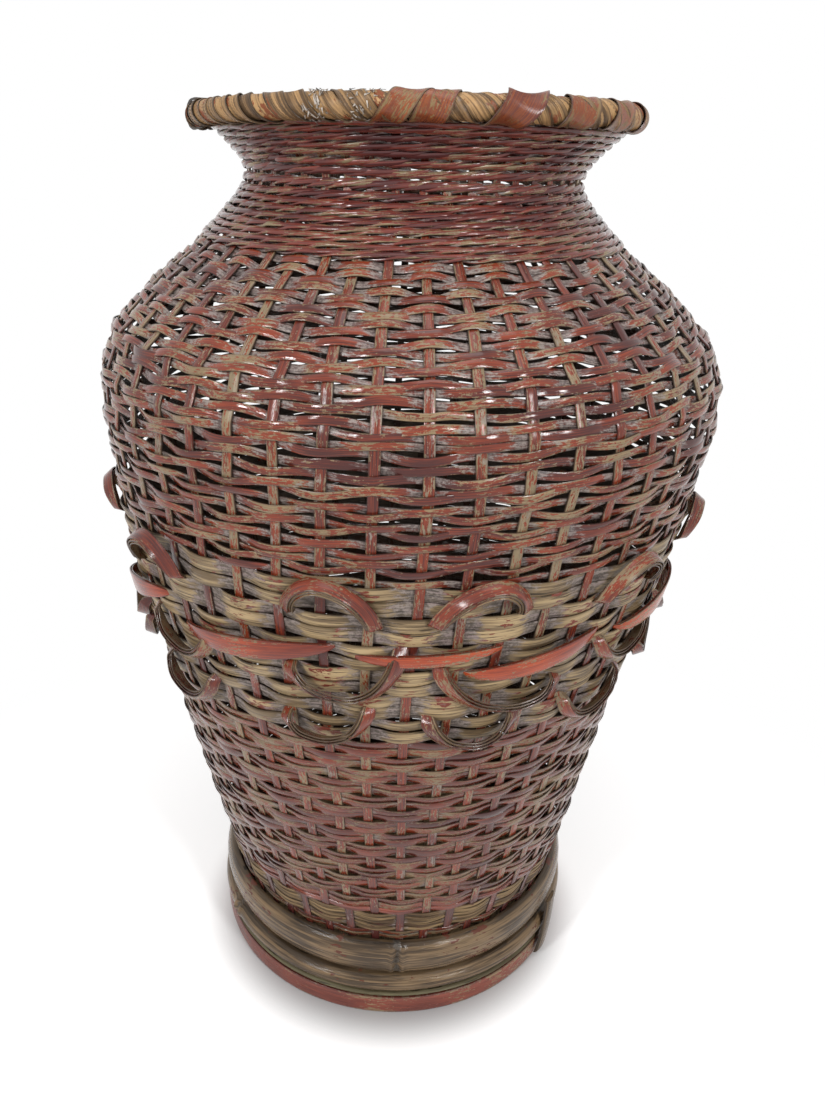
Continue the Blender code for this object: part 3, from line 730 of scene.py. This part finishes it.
class BASKET_OT_upper_wall(bpy.types.Operator):
    """Weave the fine pairs of the belly and shoulder"""
    bl_idname = "basket.upper_wall"
    bl_label = "Belly and Shoulder"

    def execute(self, context):
        size = sizes()
        weave_pairs(
            "belly_weavers", lacquered("belly lacquer"), ["shoulder_weave"],
            WALL.span("shoulder_weave"), pairs=size.upper_pairs, width=size.wall_strip,
            thickness=size.strip_thickness, seed=12,
            reach=0.95 * MM, loose=0.46, slant=0.13, drift=1.15, sink=0.3)
        return {"FINISHED"}


class BASKET_OT_band(bpy.types.Operator):
    """Weave the band's wide strips"""
    bl_idname = "basket.band"
    bl_label = "Band"

    def execute(self, context):
        size = sizes()
        finish = bare_strip("band strip", dusting=0.4, red=0.34, gloss=0.28, **BAND_TINT)
        weave_pairs(
            "band_strips", finish, BAND_NODES, (BAND_FOOT, BAND_TOP),
            pairs=len(BAND_NODES), width=size.band_strip, seed=13,
            thickness=BAND_THICKNESS_SHARE * size.strip_thickness,
            reach=0.95 * MM, tight=0.02, loose=0.06, slant=0.03, drift=0.35)
        return {"FINISHED"}


class BASKET_OT_base_weave(bpy.types.Operator):
    """Weave the thin rings, the splint course and the red line over the foot"""
    bl_idname = "basket.base_weave"
    bl_label = "Base Courses"

    def execute(self, context):
        # The base rings' colours are darkened to 0.62 by painted shade, for their dimmer light
        weave_pairs(
            "base_weaver_rings", lacquered("base ring lacquer", dusting=0.1, shade=0.62),
            ["base_weavers"], WALL.span("base_weavers"), pairs=1, width=1.9 * MM, thickness=0.6 * MM,
            seed=14, reach=0.4 * MM, loose=0.05, slant=0.02)
        weave_pairs(
            "red_line", lacquered("red line lacquer", wear=0.05, dusting=0.0),
            ["divider_weaver"], WALL.span("divider_weaver"), pairs=1, width=1.7 * MM, thickness=0.7 * MM,
            seed=15, reach=0.4 * MM, loose=0.05, slant=0.02)
        self.splints()
        return {"FINISHED"}

    def splints(self):
        """Splints side by side, all over and under the same stakes on one cosine."""
        low, high = WALL.span("base_course")
        chance = np.random.default_rng(16)
        rows = 5
        where, angle = places_round(WEAVER_STATIONS)
        over = np.cos(math.pi * (where + 1))
        pitch = (high - low) / rows
        arc = low + (np.arange(rows)[:, None] + 0.5) * pitch
        arc = arc + wander(chance, rows, STAKES, where) * 0.3 * MM
        depth = STAKE_DEPTH - 0.55 * MM * over + wander(chance, rows, STAKES, where) * 0.2 * MM
        bundle = Bundle()
        bundle.lay(
            angle, arc, depth, width=0.88 * pitch, thickness=0.5 * MM, closed=True, crest=over / 2 + 0.5,
            chance=wander(chance, rows, STAKES // 2, where / 2) / 2 + 0.5,
            tone=chance.uniform(0, 1, (rows, 1)))
        finish = bare_strip(
            "splint bamboo", SPLINT_PALE, shaded(colours()["umber"], 0.7), dusting=0.1, red=0.3)
        bundle.build("base_splints", finish, ["base_course"])


class BASKET_OT_neck(bpy.types.Operator):
    """Twine the neck up to the lip"""
    bl_idname = "basket.neck"
    bl_label = "Twined Neck"

    def execute(self, context):
        """Lay rows of three strands that follow one another by a stake.

        A strand comes round again after three stakes. It climbs slowly over the front of the
        stakes for the larger share of that run, and drops back quickly behind the last one.
        """
        over_lip, front_share = 1.3 * MM, 0.74
        strands = 3
        rows = sizes().neck_rows
        chance = np.random.default_rng(21)
        low, high = WALL.span("neck_twining")
        pitch = (high + over_lip - low) / rows
        where, angle = places_round(TWINE_STATIONS)
        strand = np.arange(strands * rows)
        row, place = strand // strands, strand % strands
        shift = chance.uniform(0, strands, rows)[row]
        phase = ((where + place[:, None] + shift[:, None]) / strands) % 1
        over = np.clip(1.5 * np.cos(TURN * (phase - front_share / 2)) + 0.65, -1, 1)
        climb = phase / (front_share / 2) - 1
        drop = ((1 + front_share) / 2 - phase) / ((1 - front_share) / 2)
        rise = np.where(phase < front_share, climb, drop)
        arc = low + (row[:, None] + 0.5) * pitch + 0.25 * pitch * rise
        arc = arc + wander(chance, rows, 12, where / 4)[row] * 0.25 * MM
        arc = arc + wander(chance, strands * rows, STAKES, where) * 0.12 * MM
        swing = 0.75 * over + 0.25 * wander(chance, strands * rows, STAKES, where)
        depth = STAKE_DEPTH - 0.5 * MM - swing * MM
        girth = 1.85 * MM * (1 + 0.16 * wander(chance, strands * rows, STAKES, where))
        bundle = Bundle()
        bundle.lay(
            angle, arc, depth, girth, thickness=0.95 * MM, section=ROUND_SECTION, closed=True,
            crest=over / 2 + 0.5,
            chance=wander(chance, strands * rows, STAKES // 2, where / 2) / 2 + 0.5,
            tone=chance.uniform(0, 1, (strands * rows, 1)))
        finish = lacquered(
            "neck lacquer", wear=0.4, dusting=0.3, gloss=0.01, grain=(9.0, 0.34), **NECK_TINT)
        bundle.build("neck_twine", finish, ["neck_twining"], sharp=75.0)
        return {"FINISHED"}


class BASKET_OT_stakes(bpy.types.Operator):
    """Set the upright stakes and plait the base that they turn up from"""
    bl_idname = "basket.stakes"
    bl_label = "Stakes and Base"

    def execute(self, context):
        chance, olive = np.random.default_rng(31), colours()["olive"]
        floor_low, floor_high = (edge.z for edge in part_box("base_mat"))
        floor = (floor_low + floor_high) / 2
        self.uprights(chance, floor)
        bundle = Bundle()
        self.spokes(bundle, floor)
        self.mat(bundle, chance, floor)
        self.rings(bundle, floor)
        finish = bare_strip("mat bamboo", olive, shaded(olive, 0.5), dusting=0.15, gloss=0.55)
        bundle.build("base_plait", finish, ["base_mat"])
        return {"FINISHED"}

    def uprights(self, chance, floor):
        """Stakes from the base to the lip; each sways a little and narrows at the neck."""
        bottom = WALL.arc(floor) + 2 * MM
        top = WALL.span("neck_twining")[1]
        share = np.linspace(0, 1, 150)
        sway = stroll(chance, STAKES, 12, share) * 0.45 * DEGREE
        angle = stake_angles() + sway * smooth(share, 0.0, 0.2)
        arc = np.broadcast_to(bottom + (top - bottom) * share, angle.shape)
        depth = STAKE_DEPTH + stroll(chance, STAKES, 40, share) * 0.15 * MM
        out, up = WALL.frame(angle, arc)
        course_top = WALL.span("base_course")[1]
        kept = 0.7 * (1 - smooth(arc, course_top, course_top + 4 * MM))
        narrowed = sizes().stake * (1 - 0.18 * smooth(share, 0.72, 0.95))
        girth = narrowed * (1 + 0.07 * stroll(chance, STAKES, 30, share))
        bundle = Bundle()
        bundle.add(
            WALL.place(angle, arc, depth), unit(np.cross(out, up)), out, girth, thickness=0.7 * MM,
            crest=stroll(chance, STAKES, 40, share) * 0.3 + 0.7,
            chance=stroll(chance, STAKES, 9, share) * 0.5 + 0.5 - kept,
            tone=chance.uniform(0, 1, (STAKES, 1)))
        finish = lacquered("stake lacquer", wear=0.44, dusting=0.3, gloss=0.18, **STAKE_TINT)
        bundle.build("stakes", finish, ["stake_cage"])

    def spokes(self, bundle, floor):
        """Flat ends of the stakes between the mat and the wall; they rise and fall on a cosine."""
        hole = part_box("base_mat")[1].x
        wall = np.interp(floor, WALL.heights, WALL.radii) - STAKE_DEPTH
        share = np.linspace(0, 1, 12)
        radius = hole - 6 * MM + (wall - hole + 5 * MM) * share
        lift = 0.35 * MM * np.cos(share * 4 * math.pi)
        angle = stake_angles()
        bundle.add(
            round_axis(radius, angle, floor + lift), sideways(angle), UP,
            width=3.0 * MM, thickness=0.6 * MM, section=BOX_SECTION)

    def mat(self, bundle, chance, floor):
        """Plain plait of two crossed sets of strips, each cut off at the mat's round edge."""
        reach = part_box("base_mat")[1].x - 1 * MM
        strips = 13
        pitch = 2 * reach / strips
        offset = (np.arange(strips) - (strips - 1) / 2) * pitch
        half = np.sqrt(np.clip(reach**2 - offset**2, 0, None))
        along = half[:, None] * np.linspace(-1, 1, 60)
        aside = np.broadcast_to(offset[:, None], along.shape)
        wave = 0.5 * MM * np.cos(math.pi * along / pitch + math.pi * np.arange(strips)[:, None])
        for path, side in (
            ((along, aside, floor + wave), (0.0, 1.0, 0.0)),
            ((aside, along, floor - wave), (1.0, 0.0, 0.0)),
        ):
            bundle.add(
                np.stack(path, -1), side, UP, width=0.93 * pitch, thickness=0.6 * MM, section=BOX_SECTION,
                chance=chance.uniform(0, 1, (strips, 1)), tone=chance.uniform(0, 1, (strips, 1)))

    def rings(self, bundle, floor):
        """Three rings round the mat, over and under the spokes in turn."""
        around = np.linspace(0, TURN, STAKES * 6, endpoint=False)
        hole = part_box("base_mat")[1].x
        for ring, offset in enumerate((0.5, 3.4, 6.3)):
            level = floor + 0.8 * MM * np.cos(around * STAKES / 2 + ring * math.pi)
            bundle.add(
                round_axis(hole + offset * MM, around, level)[None], round_axis(1.0, around, 0.0), UP,
                width=2.6 * MM, thickness=0.6 * MM, section=BOX_SECTION, closed=True)


def repeat_plan(plan, first, last, step, seed):
    """Plan of a row of loops: those of the front, then the same ones repeated round the back."""
    chance = np.random.default_rng(seed)
    rows = list(plan)
    for number, angle in enumerate(np.arange(first, last, step)):
        model = plan[number % len(plan)]
        rows.append((
            angle + chance.uniform(-1, 1), model[1] + chance.uniform(-1.2, 1.2),
            *(value * chance.uniform(0.92, 1.08) for value in model[2:])))
    return np.array(rows)


def bend_loops(bundle, plan, legs, width, tilt, seed):
    """Layered strips that leave the wall in a loop and go back in behind the stakes.

    The path is a quarter of a drawn-out ellipse for each leg. At the bend the strip turns on
    edge by the tilt, with its outer edge on the wall, and the layers part.
    """
    chance = np.random.default_rng(seed)
    t = np.linspace(-1, 1, 45)
    q = np.abs(t)
    bend_angle, level, left_reach, left_run, right_reach, right_run = plan.T[..., None]
    reach = np.where(t < 0, left_reach, right_reach) * DEGREE
    run = np.where(t < 0, left_run, right_run) * MM
    angle = bend_angle * DEGREE + np.sign(t) * reach * np.sin(math.pi / 2 * q) ** 1.1
    arc = BAND_FOOT + level * MM + legs * run * (1 - np.cos(math.pi / 2 * q) ** 1.1)
    loops = len(plan)
    bend = 1 - smooth(q, 0.35, 1.0)
    dive = smooth(q, 0.8, 1.0)
    lean = tilt * (0.3 + 0.7 * bend) * (1 - dive) * chance.uniform(0.85, 1.12, (loops, 1))
    wall_path = WALL.place(angle, arc, -0.35 * MM)
    out, up = WALL.frame(angle, arc)
    inward = unit(np.cross(out, unit(np.gradient(wall_path, axis=1))))
    inward = inward * np.sign((inward * up).sum(-1, keepdims=True).mean(axis=1, keepdims=True)) * legs
    cosine, sine = np.cos(lean)[..., None], np.sin(lean)[..., None]
    across = cosine * inward + sine * out
    face = cosine * out - sine * inward
    edge = wall_path - inward * width / 2
    lift = (0.5 * MM * bend - 4.4 * MM * dive)[:, None]
    gap = ((0.66 + 0.3 * bend) * MM)[:, None]
    tone = chance.uniform(0, 1, (loops, 1))
    for layer in range(LOOP_LAYERS):
        path = edge + across * width / 2 + out * lift - face * layer * gap
        path = path + across * (0.25 * layer + chance.uniform(-0.25, 0.25, (loops, 1, 1))) * MM
        girth = width * chance.uniform(0.93, 1.03, (loops, 1)) * (1 - 0.5 * dive)
        bundle.add(
            path, across, face, girth, thickness=0.5 * MM, crest=1 - 0.8 * dive - 0.1 * layer,
            chance=wander(chance, loops, 7, t * 2 + 2) * 0.35 + 0.4 + 0.25 * layer, tone=tone)


class BASKET_OT_loops(bpy.types.Operator):
    """Bend the arches, straps and hanging loops of the band"""
    bl_idname = "basket.loops"
    bl_label = "Loops and Straps"

    def execute(self, context):
        width = LOOP_WIDTH_SHARE * sizes().loop_strip
        finish = lacquered("loop lacquer", wear=0.45, dusting=0.1, gloss=0.16, inside=0.5)
        for piece, node, plan, back, legs, tilt, seed in LOOP_ROWS:
            bundle = Bundle()
            bend_loops(bundle, repeat_plan(plan, *back, seed), legs, width, tilt * DEGREE, seed + 1)
            bundle.build(piece, finish, [node])
        self.straps()
        return {"FINISHED"}

    def straps(self):
        """Leaf-shaped straps that bulge over the band's middle, pointed where they dive.

        Width and bulge follow powers of half a sine wave from end to end.
        """
        chance = np.random.default_rng(47)
        plan = list(STRAP_PLAN)
        for number, angle in enumerate(np.arange(-44.0, 210.0, 30.0)):
            first, low, last, high, share = STRAP_PLAN[(0, 2)[number % 2]]
            low, high = low + chance.uniform(-2, 2), high + chance.uniform(-2, 2)
            plan.append((angle, low, angle + 27.0, high, share))
        first, low, last, high, share = np.array(plan).T[..., None]
        t = np.linspace(0, 1, 40)
        angle = (first + (last - first) * t) * DEGREE
        arc = BAND_FOOT + (low + (high - low) * smooth(t, -0.2, 1.2)) * MM
        swell = np.sin(math.pi * t)
        girth = 8.6 * MM * share * np.clip(swell, 0.02, 1) ** 0.6 + 0.6 * MM
        depth = 2.4 * MM - (2.6 + 2.8 * share) * MM * swell**0.55
        bundle = Bundle()
        for layer in range(2):
            bundle.lay(
                angle, arc, depth + layer * 0.7 * MM, girth * (1 - 0.06 * layer), thickness=0.55 * MM,
                crest=(0.4 + 0.6 * swell**0.5) * (1 - 0.5 * layer),
                chance=stroll(chance, len(plan), 5, t) / 2 + 0.5, tone=chance.uniform(0, 1, (len(plan), 1)))
        finish = lacquered("strap lacquer", wear=0.34, dusting=0.04, gloss=0.12, inside=0.5, **STRAP_TINT)
        bundle.build("band_straps", finish, ["middle_straps"])


class RimHoop:
    """Middle line of the bound rim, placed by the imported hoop, and what is wound on it.

    An angle goes round the basket and a winding round the hoop's own section, from its outer
    side upwards. The hoop sags towards the left by a cube of half a cosine.
    """

    def __init__(self):
        low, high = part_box("rim_core")
        solid = (high.z - low.z) / 2
        self.level = (low.z + high.z) / 2 + 0.5 * MM
        self.radius = high.x - solid * math.cos(math.pi / RIM_CORE_SIDES)
        self.core = 0.8 * solid
        self.sag = 3.5 * MM

    def place(self, angle, winding, reach):
        """Points at a reach from the hoop's middle line."""
        sag = self.sag * (0.5 - 0.5 * np.cos(angle)) ** 3
        level = self.level + reach * np.sin(winding) - sag
        return round_axis(self.radius + reach * np.cos(winding), angle, level)

    def out(self, angle, winding):
        """Unit vectors away from the hoop's middle line."""
        return round_axis(np.cos(winding), angle, np.sin(winding))

    def wind(self, angle, winding, reach):
        """Path of a strip on the hoop, with the ways along it, across it and out."""
        path = self.place(angle, winding, reach)
        out = self.out(angle, winding)
        course = unit(np.gradient(path, axis=1))
        return path, course, unit(np.cross(out, course)), out


class BASKET_OT_rim(bpy.types.Operator):
    """Bind the rim: close bare turns, wide red turns over them, frayed ends and a loose strand"""
    bl_idname = "basket.rim"
    bl_label = "Bound Rim"

    def execute(self, context):
        rim, tint, chance = RimHoop(), colours(), np.random.default_rng(51)
        self.bare_turns(rim, chance)
        self.red_turns(rim, chance, shaded(tint["deep_red"], 1.6))
        self.slivers(rim, chance)
        self.loose_strands(rim, tint["umber"])
        around = np.linspace(0, TURN, STAKES * 4, endpoint=False)[None]
        girth = 1.8 * rim.core
        bundle = Bundle()
        bundle.add(
            rim.place(around, 0.0, 0.0), UP, rim.out(around, 0.0), girth, girth, section=ROUND_SECTION,
            closed=True)
        finish = bare_strip("rim core bamboo", tint["olive"], tint["umber"])
        bundle.build("rim_hoop", finish, ["rim_core"])
        return {"FINISHED"}

    def bare_turns(self, rim, chance):
        """Three strands wound side by side all round, each slightly raised at one edge."""
        strands = 3
        turns = sizes().rim_turns // strands
        winding = -np.linspace(0, TURN * turns, turns * 24, endpoint=False)
        angle = -winding / turns + TURN / turns / strands * np.arange(strands)[:, None]
        count = -winding / TURN
        reach = rim.core + 0.35 * MM + wander(chance, strands, turns * 3, count * 3) * 0.15 * MM
        path, course, across, out = rim.wind(angle, winding, reach)
        lean = (0.1 + 0.1 * wander(chance, strands, turns, count))[..., None]
        across = unit(across * np.cos(lean) + out * np.sin(lean))
        face = unit(np.cross(course, across))
        face = face * np.sign((face * out).sum(-1, keepdims=True))
        pitch = TURN * rim.radius / turns / strands
        bundle = Bundle()
        bundle.add(
            path, across, face, pitch * (1.05 + 0.25 * wander(chance, strands, turns, count)),
            thickness=0.55 * MM, closed=True,
            crest=wander(chance, strands, turns * 2, count * 2) * 0.25 + 0.75,
            chance=wander(chance, strands, turns, count) / 2 + 0.5,
            tone=wander(chance, strands, turns // 2, count / 2) / 2 + 0.5)
        finish = bare_strip("rim bamboo", dusting=0.27, red=0.32, gloss=0.34, **RIM_TINT)
        bundle.build("rim_binding", finish, ["rim_wrap"])

    def red_turns(self, rim, chance, deep_red):
        """Wide turns laid over the bare ones; each slants from under the rim to its top and tucks in."""
        plan = list(RIM_RED_PLAN)
        for under in np.arange(-20.0, 118.0, 17.0):
            plan.append((under, under + chance.uniform(3, 7), chance.uniform(9, 12)))
        under, above, girth = np.array(plan).T[..., None]
        t = np.linspace(0, 1, 40)
        half_turns = np.linspace(-0.7, 0.95, 40)
        ends = smooth(np.abs(half_turns - 0.125), 0.7, 0.825)
        angle = (under + (above - under) * (half_turns + 0.5)) * DEGREE
        path, _, across, out = rim.wind(angle, half_turns * math.pi, rim.core + 1.0 * MM - 0.8 * MM * ends)
        bundle = Bundle()
        bundle.add(
            path, across, out, girth * MM * (1 + 0.06 * stroll(chance, len(plan), 6, t)),
            thickness=0.5 * MM, crest=1 - 0.3 * ends, chance=chance.uniform(0.2, 0.7, (len(plan), 1)),
            tone=chance.uniform(0.6, 1, (len(plan), 1)))
        finish = lacquered(
            "rim lacquer", wear=0.44, dusting=0.0, gloss=0.24, deep_red=deep_red, **RIM_RED_TINT)
        bundle.build("rim_red_turns", finish, [])

    def slivers(self, rim, chance):
        """Thin torn fibres in two tufts on the rim's front, each narrowing to its end."""
        count = 110

        def draw(low, high):
            """One random value for each sliver."""
            return chance.uniform(low, high, (count, 1))

        t = np.linspace(0, 1, 8)
        tuft = np.where(draw(0, 1) < 0.55, -111.0, -101.0)
        start = tuft + chance.normal(0, 1.6, (count, 1))
        winding = math.pi * (draw(-0.5, 0.6) + t * draw(-0.16, 0.16))
        angle = (start + t * draw(-0.8, 1.4)) * DEGREE
        lift = rim.core + (0.9 + draw(0, 0.4) + 0.5 * t * draw(0, 1)) * MM
        path, _, across, out = rim.wind(angle, winding, lift)
        bundle = Bundle()
        bundle.add(
            path, across, out, draw(0.35, 0.85) * MM * (1 - 0.85 * t), thickness=0.12 * MM,
            chance=draw(0, 1), tone=draw(0, 1))
        finish = bare_strip("frayed bamboo", red=0.1, gloss=0.6, **FRAY_TINT)
        bundle.build("rim_frayed_slivers", finish, [])

    def loose_strands(self, rim, umber):
        """Two strands that spring from the rim's left side in a bow and come back to it."""
        first_angle, bow_angle, drift_angle = -152, 26, 8
        t = np.linspace(0, 1, 40)
        strand = np.arange(2)[:, None]
        bow = (bow_angle - 3 * strand) * np.sin(math.pi * t) ** 0.8
        angle = (first_angle - bow - drift_angle * t) * DEGREE
        lift = rim.core + (1.0 + (2.3 - 0.7 * strand) * np.sin(math.pi * t)) * MM
        path, _, across, out = rim.wind(angle, math.pi * (0.62 - 1.12 * t), lift)
        bundle = Bundle()
        bundle.add(path, across, out, width=1.1 * MM, thickness=0.5 * MM, crest=0.9)
        finish = bare_strip("strand bamboo", shaded(umber, 0.5), shaded(umber, 0.2), gloss=0.45)
        bundle.build("rim_loose_strand", finish, [])


def hoop_section(corners, edge):
    """Half-round section: flat inside, a square edge, then an arc from edge to edge."""
    turn = np.linspace(-math.pi / 2, math.pi / 2, corners)
    side, rise = np.sin(turn), edge + INNER + (1 - edge) * np.cos(turn) ** 0.95
    return np.concatenate([[(-1, INNER)], np.stack([side, rise], -1), [(1, INNER)]])


class BASKET_OT_foot(bpy.types.Operator):
    """Bend the five hoops of the foot and lash their joint"""
    bl_idname = "basket.foot"
    bl_label = "Hooped Foot"

    def execute(self, context):
        tint = colours()
        brown = bare_strip("hoop bamboo", dusting=0.28, red=0.3, gloss=0.02, cracks=0.4, **HOOP_TINT)
        green = bare_strip("pale hoop bamboo", gloss=0.42, **THIN_HOOP_TINT)
        plain = bare_strip("inner hoop bamboo", tint["olive"], tint["umber"], dusting=0.1, gloss=0.55)
        red = lacquered("foot lacquer", wear=0.36, dusting=0.3, gloss=0.2, **FOOT_TINT)
        half_round, square = hoop_section(17, 0.06), hoop_section(9, 0.86)
        for node, piece, finish, slot, section, joints in (
            ("foot_inner_hoop", "inner_hoop", plain, "bare_bamboo", square, ()),
            ("foot_red_hoop", "red_hoop", red, "red_lacquer", square, ()),
            ("foot_thin_hoop", "thin_hoop", green, "pale_green_bamboo", hoop_section(7, 0.5), ()),
            ("foot_lower_hoop", "lower_hoop", brown, "aged_hoop_bamboo", half_round, (-150.0, 70.0)),
            ("foot_upper_hoop", "upper_hoop", brown, "aged_hoop_bamboo", half_round, (-88.0, 33.0, 152.0)),
        ):
            self.hoop(node, piece, finish, slot, section, joints)
        self.lashing(brown)
        return {"FINISHED"}

    def hoop(self, node, piece, finish, slot, section, joints):
        """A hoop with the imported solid's size.

        At each bamboo joint, at an angle in degrees, it swells by one bell curve of the distance
        and has a groove by another.
        """
        low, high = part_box(node)
        points = node_points(node)
        radii = np.hypot(points[:, 0], points[:, 1])
        inner, outer = radii.min(), radii.max()
        chance = np.random.default_rng(len(node) + int(high.z * 1e5))
        around = np.linspace(0, TURN, 720, endpoint=False)
        thickness = outer - inner + wander(chance, 1, 24, around / TURN * 24)[0] * 0.12 * MM
        crest = np.ones(around.shape)
        for joint in joints:
            away = np.abs((around - joint * DEGREE + math.pi) % TURN - math.pi) * outer
            thickness = thickness + 0.9 * MM * np.exp(-((away - 2.4 * MM) / (1.2 * MM)) ** 2)
            thickness = thickness - 1.0 * MM * np.exp(-(away / (1.1 * MM)) ** 2)
            crest = crest - np.exp(-(away / (1.9 * MM)) ** 2)
        path = round_axis(inner + thickness / 2, around, (low.z + high.z) / 2)[None]
        bundle = Bundle()
        bundle.add(
            path, UP, round_axis(1.0, around, 0.0), high.z - low.z, thickness, section=section, closed=True,
            crest=crest, chance=wander(chance, 1, 30, around / TURN * 30) / 2 + 0.5,
            tone=wander(chance, 1, 7, around / TURN * 7) / 2 + 0.5)
        bundle.build(piece, finish, [node])

    def lashing(self, finish):
        """Slanted pad over the hoops' ends, crowned from top to bottom by a root of half a sine."""
        low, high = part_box("foot_splice")
        middle_x, middle_y = (low.x + high.x) / 2, (low.y + high.y) / 2
        t = np.linspace(0, 1, 24)[None]
        angle = math.atan2(middle_y, middle_x) + (t - 0.5) * 5 * DEGREE
        radius = math.hypot(middle_x, middle_y) + 0.3 * MM + 0.9 * MM * np.sin(math.pi * t) ** 0.5
        bundle = Bundle()
        bundle.add(
            round_axis(radius, angle, low.z + (high.z - low.z) * t), sideways(angle),
            round_axis(1.0, angle, 0.0), width=8.5 * MM, thickness=1.8 * MM, section=hoop_section(9, 0.3),
            crest=0.7, chance=0.3)
        bundle.build("hoop_lashing", finish, ["foot_splice"])


class BASKET_OT_stage(bpy.types.Operator):
    """Lay the pale floor, hang the lamps and place the camera"""
    bl_idname = "basket.stage"
    bl_label = "Floor, Light and Camera"

    def execute(self, context):
        self.floor(context)
        self.world(context)
        for name, place, size, power in LAMPS:
            lamp = bpy.data.lights.new(name, "AREA")
            lamp.energy = power
            lamp.size = size
            holder = bpy.data.objects.new(name, lamp)
            context.scene.collection.objects.link(holder)
            holder.location = place
            aim = Vector(LAMP_AIM) - Vector(place)
            holder.rotation_euler = aim.to_track_quat("-Z", "Y").to_euler()
        self.camera(context)
        context.scene.view_settings.view_transform = "Standard"
        return {"FINISHED"}

    def floor(self, context):
        """Wide pale disc that lights the basket from below as grey paint does.

        To the rays that show the backdrop it is white further off and keeps the basket's shadow
        nearer by, with a painted shadow of darker grey round the foot.
        """
        around = np.linspace(0, TURN, FLOOR_CORNERS, endpoint=False)
        mesh = bpy.data.meshes.new("floor")
        mesh.from_pydata(round_axis(FLOOR_RADIUS, around, 0.0).tolist(), [], [list(range(FLOOR_CORNERS))])
        finish = Finish("floor paint")

        def paint(grey):
            return finish.field("ShaderNodeBsdfDiffuse", {}, {"Color": (grey, grey, grey)})

        def glow(strength):
            return finish.field("ShaderNodeEmission", {}, {"Color": WHITE, "Strength": strength})

        def blend(share, first, second):
            return finish.field("ShaderNodeMixShader", {}, {0: share, 1: first, 2: second})

        away = finish.field("ShaderNodeVectorMath", {"operation": "DISTANCE"}, {
            0: finish.field("ShaderNodeTexCoord", {}, {}, "Object"), 1: PAINTED_SHADOW_MIDDLE}, "Value")
        bright = finish.field("ShaderNodeAddShader", {}, {0: paint(1.0), 1: glow(FLOOR_GLOW)})
        # Painted shadow: a darker grey round the foot that fades out towards the patch's far edge
        near = blend(away.ramp(*PAINTED_SHADOW_EDGE), paint(PAINTED_SHADOW_GREY), bright)
        ground = blend(away.ramp(*WHITE_EDGE), near, glow(1.0))
        shown = blend(finish.backdrop_rays(), paint(FLOOR_GREY), ground)
        finish.give(finish.tree.nodes["Material Output"].inputs[0], shown)
        mesh.materials.append(finish.material)
        disc = bpy.data.objects.new("floor", mesh)
        context.scene.collection.objects.link(disc)

    def world(self, context):
        """Plain grey light all round, white to the rays that show the backdrop."""
        world = bpy.data.worlds.new("studio")
        context.scene.world = world
        world.use_nodes = True
        nodes = Nodes(world.node_tree)
        back = nodes.tree.nodes["Background"]
        nodes.give(back.inputs["Color"], WHITE)
        nodes.give(back.inputs["Strength"], nodes.backdrop_rays() * (1.0 - WORLD_STRENGTH) + WORLD_STRENGTH)

    def camera(self, context):
        """Camera at the photograph's place, from yaw, pitch down and roll."""
        forward = Vector((math.sin(CAMERA_YAW), math.cos(CAMERA_YAW), 0))
        right = Vector((math.cos(CAMERA_YAW), -math.sin(CAMERA_YAW), 0))
        upright = Vector(UP)
        aim = forward * math.cos(CAMERA_PITCH) - upright * math.sin(CAMERA_PITCH)
        top = forward * math.sin(CAMERA_PITCH) + upright * math.cos(CAMERA_PITCH)
        x_axis = right * math.cos(CAMERA_ROLL) + top * math.sin(CAMERA_ROLL)
        y_axis = top * math.cos(CAMERA_ROLL) - right * math.sin(CAMERA_ROLL)
        data = bpy.data.cameras.new("photo_camera")
        data.sensor_fit = "VERTICAL"
        data.sensor_height = SENSOR_MM
        data.lens = SENSOR_MM * CAMERA_FOCAL_PX / PHOTO_HEIGHT_PX
        data.clip_start = 10 * MM
        camera = bpy.data.objects.new("photo_camera", data)
        context.scene.collection.objects.link(camera)
        turned = Matrix((x_axis, y_axis, -aim)).transposed().to_4x4()
        camera.matrix_world = Matrix.Translation(CAMERA_PLACE) @ turned
        context.scene.camera = camera


OPERATORS = (
    BASKET_OT_foot, BASKET_OT_stakes, BASKET_OT_base_weave, BASKET_OT_lower_wall, BASKET_OT_band,
    BASKET_OT_loops, BASKET_OT_upper_wall, BASKET_OT_neck, BASKET_OT_rim, BASKET_OT_stage,
)


class BASKET_PT_panel(bpy.types.Panel):
    """Sizes, colours and making steps of the basket"""
    bl_label = "Woven Basket"
    bl_idname = "BASKET_PT_panel"
    bl_space_type = "VIEW_3D"
    bl_region_type = "UI"
    bl_category = "Basket"

    def draw(self, context):
        column = self.layout.column(align=True)
        for group in (context.scene.basket_sizes, context.scene.basket_colours):
            for name in group.__annotations__:
                column.prop(group, name)
            column.separator()
        for operator in OPERATORS:
            column.operator(operator.bl_idname)


CLASSES = (BasketSizes, BasketColours, *OPERATORS, BASKET_PT_panel)


def register():
    for made in CLASSES:
        bpy.utils.register_class(made)
    bpy.types.Scene.basket_sizes = PointerProperty(type=BasketSizes)
    bpy.types.Scene.basket_colours = PointerProperty(type=BasketColours)


def unregister():
    del bpy.types.Scene.basket_colours
    del bpy.types.Scene.basket_sizes
    for made in reversed(CLASSES):
        bpy.utils.unregister_class(made)


def plain(box):
    """A box's two corners as plain lists of numbers."""
    return [[float(part) for part in corner] for corner in box]


def main():
    register()
    for operator in OPERATORS:
        family, step = operator.bl_idname.split(".")
        getattr(getattr(bpy.ops, family), step)()


if __name__ == "__main__":
    main()
